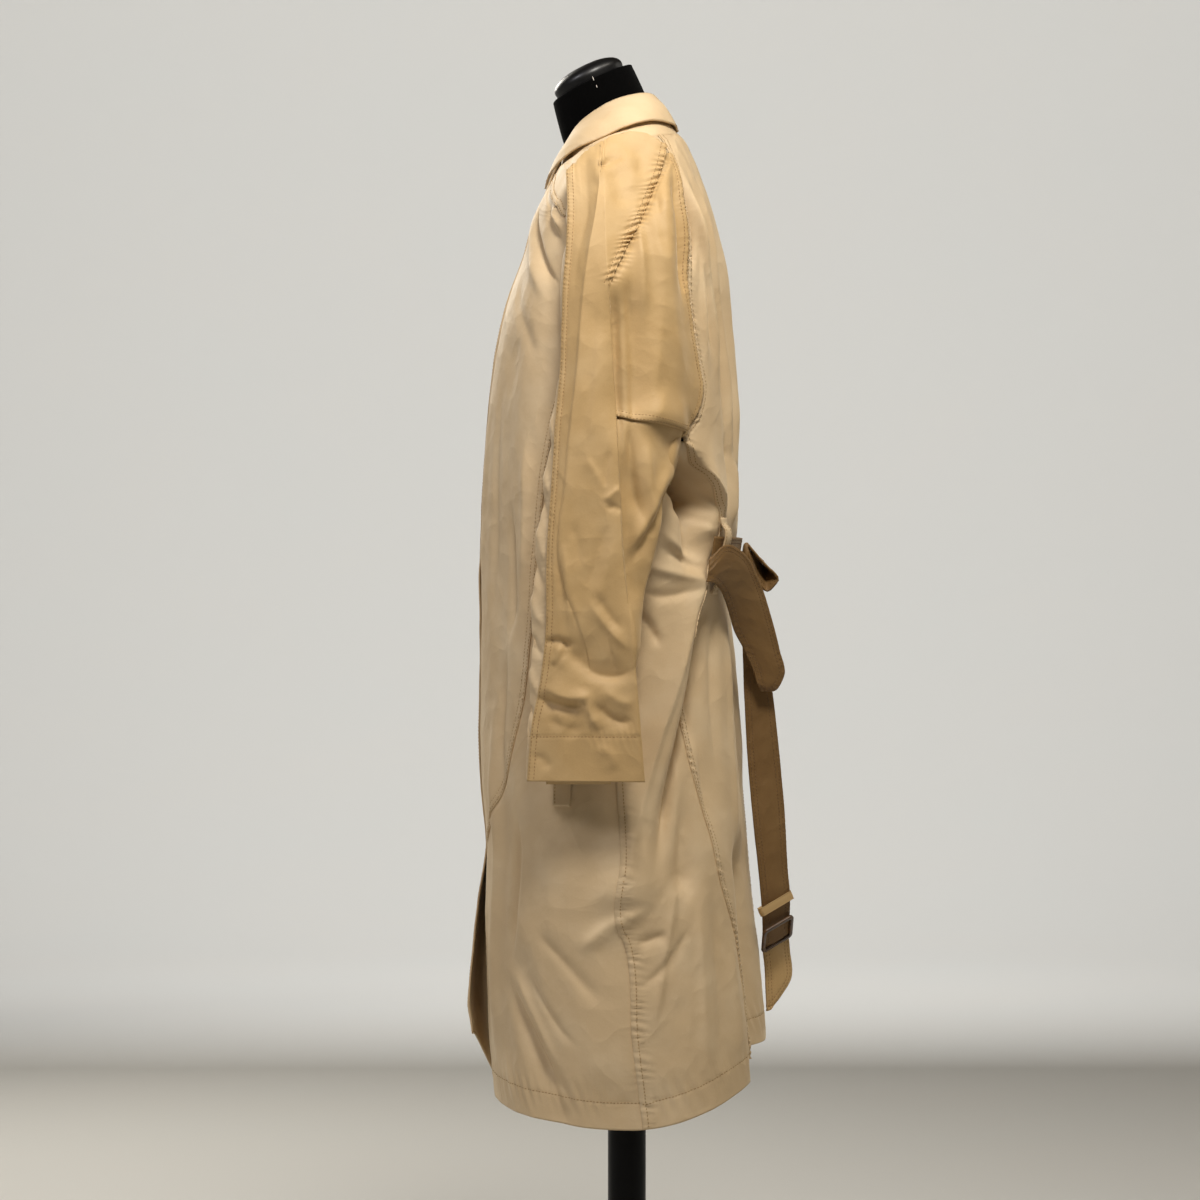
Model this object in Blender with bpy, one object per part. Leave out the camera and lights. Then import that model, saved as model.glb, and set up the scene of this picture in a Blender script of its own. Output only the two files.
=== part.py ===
"""Belted trench coat standing on a limbless black dress form.

Metres, +Z up. The coat's front faces -Y and the wearer's left is +X. The origin is on the floor, under
the middle of the pole. Every cloth piece is a thin wall: an outer surface on a grid of rows and columns,
an inner surface one cloth thickness inside it, and a rim. Left pieces are at +X, right ones at -X.
"""
import bpy
import bmesh
import numpy as np

for item in list(bpy.data.objects):
    bpy.data.objects.remove(item, do_unlink=True)

# ---- driving dimensions -------------------------------------------------------------------------
CLOTH = 0.0018          # one layer of coat cloth
BELT_CLOTH = 0.0024     # two layers sewn together
SEAM_GAP = 0.0010       # between two pieces at a seam
LAYER_GAP = 0.0034      # between a panel and the panel that overlaps it
BASE_RADIUS = 0.225
BASE_THICKNESS = 0.014
POLE_RADIUS = 0.0205
POLE_TOP = 0.792

# Rings of the coat's body. height is the ring's height at the side; it rises by front_rise at the
# front and back_rise at the back. front and back are Y there, and square is the ring's exponent:
# 1 is an ellipse, and less is squarer.
BODY = (
    # height front_rise back_rise front    back   half_width square
    (0.358, 0.018, 0.055, -0.142, 0.149, 0.208, 0.70),
    (0.450, 0.008, 0.025, -0.150, 0.146, 0.206, 0.70),
    (0.550, 0.000, 0.008, -0.153, 0.1375, 0.202, 0.72),
    (0.640, 0.000, 0.000, -0.152, 0.130, 0.197, 0.74),
    (0.710, 0.000, 0.000, -0.158, 0.124, 0.193, 0.76),
    (0.800, 0.000, 0.000, -0.159, 0.117, 0.190, 0.78),
    (0.875, 0.000, 0.000, -0.159, 0.112, 0.188, 0.80),
    (0.925, 0.000, 0.000, -0.159, 0.111, 0.186, 0.80),
    (0.980, 0.000, 0.000, -0.157, 0.119, 0.187, 0.76),
    (1.050, 0.000, 0.000, -0.1535, 0.1185, 0.189, 0.72),
    (1.140, 0.000, 0.000, -0.1456, 0.1125, 0.189, 0.68),
    (1.220, 0.000, 0.000, -0.129, 0.106, 0.188, 0.66),
    (1.270, 0.000, 0.000, -0.111, 0.1005, 0.187, 0.66),
    (1.320, 0.000, 0.000, -0.097, 0.090, 0.184, 0.68),
    (1.348, -0.004, 0.000, -0.0835, 0.081, 0.176, 0.72),
    (1.371, -0.014, 0.004, -0.0765, 0.071, 0.156, 0.76),
    (1.385, -0.022, 0.010, -0.0735, 0.062, 0.118, 0.82),
    (1.392, -0.025, 0.012, -0.0715, 0.055, 0.080, 0.86),
)

# Seams as the angle round the body from the front centre, in degrees, at each height.
FRONT_SIDE = (
    # height angle: the curved front seam, the armhole's front edge, then the yoke seam
    (0.358, 10.0), (0.550, 10.0), (0.609, 10.5), (0.640, 14.0), (0.664, 22.0), (0.690, 33.0),
    (0.715, 41.0), (0.757, 50.0), (0.778, 53.5),
    (0.861, 60.0), (0.950, 64.0), (1.050, 69.0), (1.100, 74.0), (1.138, 80.0), (1.170, 77.5),
    (1.200, 73.5), (1.250, 67.5), (1.295, 62.5), (1.306, 50.0), (1.322, 36.0), (1.345, 22.0),
    (1.370, 19.0), (1.392, 17.0),
)
SIDE_SEAM = (
    (0.358, 91.5), (0.450, 90.5), (0.540, 90.5), (0.576, 89.4), (0.620, 90.0), (0.900, 91.0),
    (1.066, 92.0),
)
ARMPIT_FRONT = ((1.066, 92.0), (1.100, 87.5), (1.138, 80.8))
BACK_SIDE = (
    # height angle: the curved back seam, then the armhole's back edge
    (0.358, 146.0), (0.450, 143.0), (0.550, 139.5), (0.609, 132.0), (0.672, 128.0), (0.757, 123.0),
    (0.830, 123.5), (0.875, 126.0), (0.925, 136.5), (0.978, 143.0), (1.006, 139.0), (1.030, 131.0),
    (1.047, 123.0), (1.073, 115.7), (1.097, 124.0), (1.120, 128.0), (1.151, 125.0), (1.193, 120.7),
    (1.232, 118.5), (1.286, 121.0), (1.317, 121.4), (1.348, 122.2), (1.367, 120.8), (1.392, 122.0),
)

# The body's largest folds: a straight soft ridge or trough from one (angle, height) to another.
BODY_FOLDS = (
    # angle_top top angle_low low half_width rise
    (131.0, 0.915, 92.0, 0.600, 0.020, 0.010),
    (137.0, 0.880, 112.0, 0.620, 0.020, -0.010),
    (74.0, 0.760, 86.0, 0.430, 0.034, 0.007),
    (40.0, 1.150, 34.0, 0.430, 0.030, -0.006),
    (152.0, 1.340, 152.0, 1.060, 0.014, -0.005),
    (156.0, 0.620, 157.0, 0.300, 0.026, -0.020),
    (122.0, 1.030, 128.0, 0.960, 0.024, -0.020),
    (50.0, 0.520, 66.0, 0.370, 0.024, -0.008),
)
FOLD_ARC = 0.0031       # metres of body girth for each degree

VENT_TOP = 0.620
FRONT_EDGE = 5.0        # degrees that a front runs past the front centre
VENT_EDGE = 6.0         # degrees that the under vent runs past the back centre

# Lines along a sleeve as it hangs, left side.
SLEEVE_HEAD = (
    # z y x: the gathered seam at the shoulder, front to back
    (1.3470, -0.0600, 0.1730), (1.3640, -0.0460, 0.1745), (1.3770, -0.0270, 0.1715),
    (1.3850, -0.0100, 0.1690), (1.3880, 0.0080, 0.1665), (1.3840, 0.0240, 0.1650),
    (1.3700, 0.0400, 0.1640),
)
SLEEVE_TOP = (
    # z front_y front_x valley_y valley_x ridge_y ridge_x knife_y knife_x end_y end_x
    (1.340, -0.0640, 0.190, -0.0440, 0.194, -0.0290, 0.205, -0.0240, 0.204, 0.0320, 0.182),
    (1.302, -0.0625, 0.203, -0.0405, 0.211, -0.0335, 0.224, -0.0245, 0.226, 0.0172, 0.205),
    (1.258, -0.0640, 0.213, -0.0500, 0.222, -0.0412, 0.236, -0.0225, 0.241, -0.0035, 0.229),
    (1.222, -0.0668, 0.219, -0.0550, 0.228, -0.0460, 0.240, -0.0205, 0.248, -0.0180, 0.2465),
    (1.185, -0.0680, 0.222, -0.0585, 0.231, -0.0490, 0.242, -0.0190, 0.250, -0.0165, 0.2490),
    (1.137, -0.0698, 0.226, -0.0610, 0.234, -0.0525, 0.245, -0.0160, 0.253, -0.0135, 0.2515),
    (1.084, -0.0745, 0.229, -0.0655, 0.237, -0.0590, 0.246, -0.0120, 0.254, -0.0095, 0.2525),
    (1.024, -0.0779, 0.231, -0.0705, 0.238, -0.0640, 0.246, -0.0088, 0.255, -0.0063, 0.2535),
    (0.943, -0.0830, 0.233, -0.0770, 0.238, -0.0700, 0.243, -0.0047, 0.255, -0.0022, 0.2535),
    (0.877, -0.0840, 0.233, -0.0700, 0.240, -0.0500, 0.245, 0.0020, 0.253, 0.0045, 0.2515),
    (0.820, -0.0901, 0.231, -0.0650, 0.241, -0.0400, 0.245, 0.0060, 0.251, 0.0085, 0.2495),
    (0.776, -0.0985, 0.229, -0.0700, 0.240, -0.0400, 0.244, 0.0095, 0.250, 0.0120, 0.2485),
    (0.717, -0.1035, 0.228, -0.0700, 0.239, -0.0400, 0.243, 0.0144, 0.248, 0.0169, 0.2465),
)
SLEEVE_UNDER = (
    # z front_y front_x back_y back_x: where the sleeve turns in towards the body
    (1.137, -0.0720, 0.214, 0.0560, 0.212),
    (1.084, -0.0790, 0.214, 0.0520, 0.2100),
    (1.024, -0.0865, 0.214, 0.0440, 0.2150),
    (0.943, -0.0966, 0.214, 0.0273, 0.2170),
    (0.877, -0.1010, 0.214, 0.0110, 0.2190),
    (0.820, -0.1017, 0.214, 0.0060, 0.2200),
    (0.776, -0.1040, 0.214, 0.0050, 0.2200),
    (0.717, -0.1058, 0.214, 0.0060, 0.2200),
)
SLEEVE_INSIDE = 0.2045   # X of the sleeve's layer next to the body
ARMHOLE_STAND = 0.0022   # how far a sleeve's edge stands out from the body at the armhole
ELBOW_BACK = 1.076       # height at which the elbow seam meets the armhole

# The collar's fall, left half, from its front end to the back centre.
COLLAR = (
    # top_x top_y top_z low_x low_y low_z
    (0.0170, -0.0750, 1.3760, 0.0300, -0.0890, 1.3430),
    (0.0350, -0.0700, 1.3840, 0.0570, -0.0830, 1.3560),
    (0.0465, -0.0535, 1.4095, 0.0840, -0.0570, 1.3785),
    (0.0530, -0.0290, 1.4278, 0.0970, -0.0290, 1.3890),
    (0.0520, -0.0023, 1.4397, 0.0980, -0.0040, 1.4010),
    (0.0400, 0.0190, 1.4449, 0.0860, 0.0230, 1.4100),
    (0.0210, 0.0295, 1.4445, 0.0520, 0.0490, 1.4105),
    (0.0000, 0.0326, 1.4425, 0.0000, 0.0570, 1.4085),
)

# Dress form: rings square to its axis. lean tips a ring forward, in degrees.
FORM = (
    # z centre_y half_depth half_width lean
    (0.800, -0.012, 0.070, 0.105, 0.0),
    (0.812, -0.012, 0.088, 0.130, 0.0),
    (0.860, -0.013, 0.098, 0.142, 0.0),
    (0.950, -0.016, 0.078, 0.116, 0.0),
    (1.050, -0.015, 0.090, 0.130, 0.0),
    (1.150, -0.014, 0.100, 0.146, 0.0),
    (1.230, -0.013, 0.094, 0.152, 0.0),
    (1.300, -0.012, 0.078, 0.150, 0.0),
    (1.340, -0.011, 0.066, 0.134, 0.0),
    (1.364, -0.011, 0.056, 0.104, 2.0),
    (1.380, -0.012, 0.0535, 0.070, 6.0),
    (1.395, -0.015, 0.0520, 0.0475, 10.0),
    (1.420, -0.023, 0.0505, 0.0440, 16.0),
    (1.445, -0.032, 0.0485, 0.0435, 22.0),
    (1.4595, -0.0375, 0.0470, 0.0430, 26.0),
)
CAP_LEAN = 26.0
CAP_CENTRE = (-0.0420, 1.4668)
CAP_HALF_DEPTH = 0.0385
CAP_HALF_WIDTH = 0.0355
CAP_RIM = 0.004
CAP_HEIGHT = 0.0135

# Belt pieces as their two long edges.
BELT_DRAPE = (
    # inner_x inner_y inner_z outer_x outer_y outer_z: out of the side seam, over and down behind
    (0.1540, 0.0830, 0.9210, 0.1500, 0.0850, 0.9440),
    (0.1480, 0.0900, 0.9200, 0.1400, 0.1010, 0.9590),
    (0.1330, 0.0980, 0.9130, 0.1200, 0.1200, 0.9530),
    (0.1100, 0.1070, 0.8915, 0.0950, 0.1400, 0.9210),
    (0.0950, 0.1140, 0.8680, 0.0800, 0.1530, 0.8830),
    (0.0840, 0.1250, 0.8470, 0.0710, 0.1620, 0.8490),
    (0.0770, 0.1340, 0.8260, 0.0660, 0.1670, 0.8220),
    (0.0730, 0.1390, 0.8100, 0.0650, 0.1560, 0.8050),
)
BELT_HANG = (
    # the end that hangs behind the drape, down to the buckle
    (0.0620, 0.1230, 0.8560, 0.0540, 0.1480, 0.8500),
    (0.0620, 0.1255, 0.7950, 0.0530, 0.1560, 0.7950),
    (0.0620, 0.1290, 0.7300, 0.0510, 0.1630, 0.7300),
    (0.0630, 0.1345, 0.6650, 0.0510, 0.1685, 0.6650),
    (0.0650, 0.1400, 0.6150, 0.0510, 0.1710, 0.6150),
    (0.0670, 0.1440, 0.5670, 0.0510, 0.1735, 0.5830),
)
BELT_TIP = (
    # the pointed end that comes out of the buckle
    (0.0390, 0.1470, 0.5220, 0.0240, 0.1740, 0.5380),
    (0.0385, 0.1480, 0.5120, 0.0240, 0.1750, 0.5270),
    (0.0385, 0.1490, 0.4880, 0.0250, 0.1765, 0.4960),
    (0.0385, 0.1500, 0.4720, 0.0290, 0.1670, 0.4800),
    (0.0380, 0.1510, 0.4620, 0.0350, 0.1545, 0.4640),
)
BELT_BOW = (
    # y z of the folded end behind the knot: out to its point and back
    (0.1330, 0.9560), (0.1400, 0.9475), (0.1500, 0.9370), (0.1590, 0.9285), (0.1610, 0.9245),
    (0.1570, 0.9185), (0.1500, 0.9125), (0.1440, 0.9180), (0.1385, 0.9270), (0.1365, 0.9350),
)
BOW_WIDTH = (-0.036, 0.003, 0.006)
BOW_NEAR_X = 0.040
BAND_HEIGHT = 0.040
BAND_MIDDLE = 0.948
BAND_STAND = 0.0045
CARRIER_ANGLE = 143.0
CARRIER_WIDTH = 0.010
KNOT_CENTRE = (0.023, 0.1280, 0.9480)
KNOT_HALF = (0.0038, 0.0150)
KNOT_WIDTH = 0.034

BUCKLE_CENTRE = (0.045, 0.1605, 0.5455)
BUCKLE_ACROSS = (-0.45, 0.79, 0.42)     # from one side of the belt to the other
BUCKLE_DOWN = (-0.70, -0.02, -0.71)     # down the belt
BUCKLE_WIDTH = 0.042
BUCKLE_HEIGHT = 0.036
BUCKLE_WIRE = 0.0045
BUCKLE_DEPTH = 0.0036
KEEPER_CENTRE = (0.0580, 0.1580, 0.5790)
KEEPER_DOWN = (0.04, 0.02, -1.0)
KEEPER_HALF = (0.0220, 0.0038)          # across the strap, and out of its face
KEEPER_WIDTH = 0.009
KEEPER_CLOTH = 0.0015

POCKET = (
    # height angle_front angle_back: the welt on the side front panel
    (0.690, 72.5, 79.0),
    (0.715, 73.2, 79.7),
    (0.757, 74.5, 81.0),
    (0.778, 75.1, 81.6),
    (0.830, 76.8, 83.3),
    (0.861, 78.0, 84.5),
)
POCKET_STAND = CLOTH + 0.0022


# ---- tools --------------------------------------------------------------------------------------
def columns(rows):
    """The table's columns as arrays."""
    return np.array(rows, dtype=float).T


def smooth(at, knots, values):
    """Cubic curve through the knots, with slopes from the points on either side."""
    slopes = np.gradient(values, knots)
    at = np.clip(at, knots[0], knots[-1])
    i = np.clip(np.searchsorted(knots, at, side="right") - 1, 0, len(knots) - 2)
    span = knots[i + 1] - knots[i]
    u = (at - knots[i]) / span
    rise = values[i + 1] - values[i]
    bend = slopes[i] * span * u * (1 - u) ** 2 - slopes[i + 1] * span * u ** 2 * (1 - u)
    return values[i] + rise * (3 * u ** 2 - 2 * u ** 3) + bend


def resample(points, count):
    """Points at even steps of length along a smooth curve through the given ones."""
    points = np.array(points, dtype=float)
    length = np.concatenate(([0.0], np.cumsum(np.linalg.norm(np.diff(points, axis=0), axis=1))))
    at = np.linspace(0.0, length[-1], count)
    return np.stack([smooth(at, length, points[:, axis]) for axis in range(points.shape[1])], axis=1)


def plain_material(name, colour, roughness, metallic=0.0):
    material = bpy.data.materials.new(name)
    material.use_nodes = True
    shader = material.node_tree.nodes["Principled BSDF"]
    shader.inputs["Base Color"].default_value = (*colour, 1.0)
    shader.inputs["Roughness"].default_value = roughness
    shader.inputs["Metallic"].default_value = metallic
    material.diffuse_color = (*colour, 1.0)
    return material


def add_object(name, verts, faces, material, smooth_shaded=True):
    mesh = bpy.data.meshes.new(name)
    mesh.from_pydata([tuple(v) for v in verts], [], faces)
    mesh.materials.append(material)
    mesh.validate()
    if smooth_shaded:
        mesh.shade_smooth()
    piece = bpy.data.objects.new(name, mesh)
    bpy.context.collection.objects.link(piece)
    return piece


def surface_normals(grid):
    """Unit normal at each grid point, from the directions along its row and its column."""
    along = np.gradient(grid, axis=0)
    across = np.gradient(grid, axis=1)
    normal = np.cross(across, along)
    return normal / np.maximum(np.linalg.norm(normal, axis=2, keepdims=True), 1e-12)


def cloth_wall(name, grid, material, thickness=CLOTH, normals=None):
    """A closed wall: the grid, the same grid one thickness inside it, and a rim round the edge.

    Rows of the grid go up and its columns go round to the wearer's left, so its outside faces out.
    """
    rows, cols = grid.shape[:2]
    inner = grid - (surface_normals(grid) if normals is None else normals) * thickness
    verts = np.concatenate((grid.reshape(-1, 3), inner.reshape(-1, 3)))
    index = np.arange(rows * cols).reshape(rows, cols)
    deep = index + rows * cols
    faces = []
    for r in range(rows - 1):
        for c in range(cols - 1):
            faces.append((index[r, c], index[r, c + 1], index[r + 1, c + 1], index[r + 1, c]))
            faces.append((deep[r, c], deep[r + 1, c], deep[r + 1, c + 1], deep[r, c + 1]))
    edge = list(index[0, :]) + list(index[1:, -1]) + list(index[-1, -2::-1]) + list(index[-2:0:-1, 0])
    for a, b in zip(edge, edge[1:] + edge[:1]):
        faces.append((b, a, a + rows * cols, b + rows * cols))
    faces = [tuple(int(v) for v in face) for face in faces]
    return add_object(name, verts, faces, material)


def mirrored(grid):
    """The grid on the other side of the coat, with its columns turned round so it still faces out."""
    return grid[:, ::-1] * np.array((-1.0, 1.0, 1.0))


def both_sides(name, grid, material, thickness=CLOTH):
    cloth_wall(name + "_left", grid, material, thickness)
    cloth_wall(name + "_right", mirrored(grid), material, thickness)


# ---- the coat's body ----------------------------------------------------------------------------
BODY_COLUMNS = columns(BODY)


def body_point(angle, height, stand=0.0, folds=True):
    """Point on the body ring at an angle and a height, moved out by stand."""
    knots = BODY_COLUMNS[0]
    front_rise, back_rise, front, back, half_width, square = (
        smooth(height, knots, column) for column in BODY_COLUMNS[1:])
    turn = np.radians(angle)
    fore = np.cos(turn)
    side = np.sin(turn)
    middle = (front + back) / 2
    half_depth = (back - front) / 2
    x = half_width * np.sign(side) * np.abs(side) ** square
    y = middle - half_depth * np.sign(fore) * np.abs(fore) ** square
    z = height + front_rise * np.maximum(fore, 0) ** 1.3 + back_rise * np.maximum(-fore, 0) ** 1.3
    outward = np.stack((x / half_width ** 2, (y - middle) / half_depth ** 2), axis=-1)
    outward /= np.linalg.norm(outward, axis=-1, keepdims=True)
    out = stand + (body_folds(angle, height) if folds else 0.0)
    return np.stack((x + outward[..., 0] * out, y + outward[..., 1] * out, z), axis=-1)


def body_folds(angle, height):
    """How far the largest folds lift the cloth: each is a soft ridge about a straight line."""
    arc = np.abs((angle + 180.0) % 360.0 - 180.0) * FOLD_ARC
    total = np.zeros_like(arc + height)
    for angle_top, top, angle_low, low, half_width, rise in BODY_FOLDS:
        start = np.array((angle_top * FOLD_ARC, top))
        run = np.array((angle_low * FOLD_ARC, low)) - start
        share = ((arc - start[0]) * run[0] + (height - start[1]) * run[1]) / (run @ run)
        share = np.clip(share, 0.0, 1.0)
        gap = np.hypot(arc - start[0] - share * run[0], height - start[1] - share * run[1])
        total += rise * np.exp(-(gap / half_width) ** 2)
    return total


def body_normal(angle, height):
    """The body's outward unit normal, from its slopes round and up."""
    round_it = body_point(angle + 0.5, height) - body_point(angle - 0.5, height)
    up_it = body_point(angle, height + 0.004) - body_point(angle, height - 0.004)
    normal = np.cross(round_it, up_it)
    return normal / np.linalg.norm(normal, axis=-1, keepdims=True)


def panel_places(heights, left, right, count):
    """The angle and height of each grid point of a panel between two seams."""
    heights = np.array(heights, dtype=float)
    left = left(heights) if callable(left) else np.full_like(heights, left)
    right = right(heights) if callable(right) else np.full_like(heights, right)
    trim = np.degrees(SEAM_GAP / 2 / 0.16)
    share = np.linspace(0.0, 1.0, count)
    angle = (left + trim)[:, None] + share * (right - left - 2 * trim)[:, None]
    return angle, np.repeat(heights[:, None], count, axis=1)


def seam(rows):
    """The seam's angle as a function of height."""
    knots, angles = columns(rows)
    return lambda height: np.interp(height, knots, angles)


front_side = seam(FRONT_SIDE)
back_side = seam(BACK_SIDE)
side_front_edge = seam(SIDE_SEAM[:-1] + ARMPIT_FRONT)
side_seam = seam(SIDE_SEAM)

cotton = plain_material("Cotton", (0.58, 0.42, 0.24), 0.65)
cotton_shade = plain_material("CottonBelt", (0.30, 0.19, 0.09), 0.65)
jersey = plain_material("BlackJersey", (0.012, 0.012, 0.013), 0.7)
lacquer = plain_material("BlackLacquer", (0.010, 0.010, 0.011), 0.25)
horn = plain_material("Horn", (0.09, 0.05, 0.025), 0.35)

HEIGHTS = (0.358, 0.400, 0.450, 0.500, 0.550, 0.609, 0.640, 0.664, 0.690, 0.715, 0.757, 0.778, 0.830,
           0.861, 0.900, 0.925, 0.950, 0.978, 1.006, 1.030, 1.047)
FRONT_HEIGHTS = HEIGHTS + (1.073, 1.100, 1.138, 1.170, 1.200, 1.250, 1.295, 1.306, 1.322, 1.345, 1.370, 1.391)
HEM_RISE = 0.022         # how much higher the backs' hems hang than the side backs'
BACK_HEIGHTS = HEIGHTS + (1.073, 1.097, 1.120, 1.151, 1.193, 1.232, 1.286, 1.317, 1.348, 1.367,
                          1.380, 1.391)


def front_panel(side):
    """A front: its edge runs past the centre, the left one a layer inside the right one.

    Below the hip the right front's edge swings forward, and its hem is drawn up.
    """
    angle, height = panel_places(FRONT_HEIGHTS, -FRONT_EDGE, front_side, 9)
    grid = body_point(angle, height)
    normals = body_normal(angle, height)
    share = np.linspace(0.0, 1.0, 9)[None, :]
    if side == "left":
        grid[..., 1] += LAYER_GAP * np.clip((20.0 - angle) / 12.0, 0.0, 1.0)
        cloth_wall("coat_front_left", grid, cotton, normals=normals)
        return
    near_edge = np.clip((1.0 - share) / 0.8, 0.0, 1.0)
    near_edge = near_edge ** 2 * (3 - 2 * near_edge)
    grid[..., 1] -= 0.024 * np.clip((0.640 - height) / 0.24, 0.0, 1.0) * near_edge
    grid[..., 2] += 0.062 * np.clip((0.640 - height) / 0.28, 0.0, 1.0) * near_edge
    cloth_wall("coat_front_right", mirrored(grid), cotton, normals=mirrored(normals))


def back_panel(side):
    """A back, from the curved seam to the back centre, its hem a little higher than its neighbour's.

    Below the vent's top the right back runs past the centre, under the left one.
    """
    def drawn_up(grid, height):
        grid[..., 2] += HEM_RISE * np.clip((0.450 - height) / 0.092, 0.0, 1.0)
        return grid
    if side == "left":
        angle, height = panel_places(BACK_HEIGHTS, back_side, 180.0, 8)
        cloth_wall("coat_back_left", drawn_up(body_point(angle, height), height), cotton,
                   normals=body_normal(angle, height))
        return

    def vent_edge(height):
        return np.where(height < VENT_TOP, 180.0 + VENT_EDGE, 180.0)
    angle, height = panel_places(BACK_HEIGHTS, back_side, vent_edge, 8)
    grid = drawn_up(body_point(angle, height), height)
    share = np.linspace(0.0, 1.0, 8)[None, :]
    under = np.where(height < VENT_TOP + 0.03, LAYER_GAP, 0.0)
    grid[..., 1] -= under * np.clip((share - 0.4) / 0.3, 0.0, 1.0)
    cloth_wall("coat_back_right", mirrored(grid), cotton, normals=mirrored(body_normal(angle, height)))


def body_wall(name, places):
    """A body panel and its mirror image."""
    grid = body_point(*places)
    normals = body_normal(*places)
    cloth_wall(name + "_left", grid, cotton, normals=normals)
    cloth_wall(name + "_right", mirrored(grid), cotton, normals=mirrored(normals))


front_panel("left")
front_panel("right")
back_panel("left")
back_panel("right")
body_wall("coat_side_front", panel_places(HEIGHTS + (1.064, 1.100, 1.136), front_side, side_front_edge, 6))
body_wall("coat_side_back", panel_places(HEIGHTS + (1.064,), side_seam, back_side, 7))

# Each column of the yoke runs from the armhole or a seam up to the neckline.
YOKE = (
    # outer_angle outer_height neck_angle
    (24.0, 1.3475, 20.0), (37.5, 1.3255, 30.0), (51.5, 1.3105, 42.0), (63.5, 1.3020, 54.0),
    (67.5, 1.3300, 63.0), (74.0, 1.3530, 71.0), (83.0, 1.3660, 81.0), (94.0, 1.3700, 93.0),
    (106.0, 1.3700, 106.0), (119.0, 1.3660, 120.5),
)
NECKLINE = 1.391


def yoke_places():
    """The shoulder strip's angles and heights, five rows from its outer edge to the neckline."""
    outer_angle, outer_height, neck_angle = columns(YOKE)
    share = np.linspace(0.0, 1.0, 5)[:, None]
    angle = outer_angle + share * (neck_angle - outer_angle)
    return angle, outer_height + share * (NECKLINE - outer_height)


body_wall("coat_yoke", yoke_places())


# ---- sleeves ------------------------------------------------------------------------------------
TOP_COLUMNS = columns(SLEEVE_TOP[::-1])
UNDER_COLUMNS = columns(SLEEVE_UNDER[::-1])
SLEEVE_HEIGHTS = np.array((0.717, 0.748, 0.776, 0.820, 0.850, 0.877, 0.910, 0.943, 0.985, 1.024, 1.055,
                           1.084, 1.110, 1.137, 1.160, 1.185, 1.222, 1.258, 1.302, 1.340))
ARMHOLE_NOTCH = 1.138    # where the front seam runs into the armhole
LAP = CLOTH + 0.0010     # how far a sleeve piece's edge lies under the top sleeve's


def sleeve_line(name, height):
    """Point on a named line of the sleeve's top at each height."""
    place = {"front": 1, "valley": 3, "ridge": 5, "knife": 7, "end": 9}[name]
    knots = TOP_COLUMNS[0]
    y = smooth(height, knots, TOP_COLUMNS[place])
    x = smooth(height, knots, TOP_COLUMNS[place + 1])
    return np.stack((x, y, height), axis=-1)


def under_line(name, height):
    """Point on the line where the sleeve turns in, at its front or its back."""
    place = {"front": 1, "back": 3}[name]
    knots = UNDER_COLUMNS[0]
    y = smooth(height, knots, UNDER_COLUMNS[place])
    x = smooth(height, knots, UNDER_COLUMNS[place + 1])
    return np.stack((x, y, height), axis=-1)


def sleeve_top():
    """Top sleeve: from the front seam over a valley and a ridge to the knife edge and the back seam."""
    heights = SLEEVE_HEIGHTS
    front, valley, ridge, knife, end = (
        sleeve_line(name, heights) for name in ("front", "valley", "ridge", "knife", "end"))
    rows = []
    for row in range(len(heights)):
        rows.append((front[row], (front[row] * 0.45 + valley[row] * 0.55), valley[row],
                     ridge[row], (ridge[row] + knife[row]) / 2, knife[row],
                     (knife[row] + end[row]) / 2, end[row]))
    head = resample(np.array(SLEEVE_HEAD)[:, [2, 1, 0]], 8)
    head[:, 0] += ARMHOLE_STAND
    rows.append(tuple(head))
    grid = np.array(rows)
    return inset(grid)


def inset(grid, gap=SEAM_GAP / 2):
    """The grid drawn in at its edges by half a seam gap."""
    grid = grid.copy()
    for edge, beside in ((0, 1), (-1, -2)):
        step = grid[:, beside] - grid[:, edge]
        grid[:, edge] += step * gap / np.linalg.norm(step, axis=1)[:, None]
        step = grid[beside, :] - grid[edge, :]
        grid[edge, :] += step * gap / np.linalg.norm(step, axis=1)[:, None]
    return grid


def armhole_point(side, height):
    """Point on the armhole's front or back edge, standing just off the body."""
    if side == "front":
        edge = np.where(height < ARMHOLE_NOTCH, side_front_edge(np.clip(height, 1.068, ARMHOLE_NOTCH)),
                        front_side(np.clip(height, ARMHOLE_NOTCH, 1.292)))
    else:
        edge = back_side(height)
    return body_point(edge, height, ARMHOLE_STAND, folds=False)


def sleeve_front():
    """Front strip: from the top sleeve's front seam round to the armhole, or in against the body."""
    heights = SLEEVE_HEIGHTS
    outer = sleeve_line("front", heights)
    outer[:, 0] -= LAP
    turn = under_line("front", heights)
    inner = np.stack((np.full_like(heights, SLEEVE_INSIDE), turn[:, 1] + 0.020, heights), axis=-1)
    high = np.clip((heights - 1.055) / 0.029, 0.0, 1.0)[:, None]
    inner = inner * (1 - high) + armhole_point("front", heights) * high
    above = heights > 1.137
    turn[above] = outer[above] * 0.55 + inner[above] * 0.45 + np.array((0.0, -0.004, 0.0))
    middle_out = (outer + turn) / 2 + np.array((0.001, -0.001, 0.0))
    middle_in = (turn + inner) / 2 + np.array((0.0, -0.002, 0.0))
    grid = np.stack((inner, middle_in, turn, middle_out, outer), axis=1)
    return inset(grid)


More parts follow.
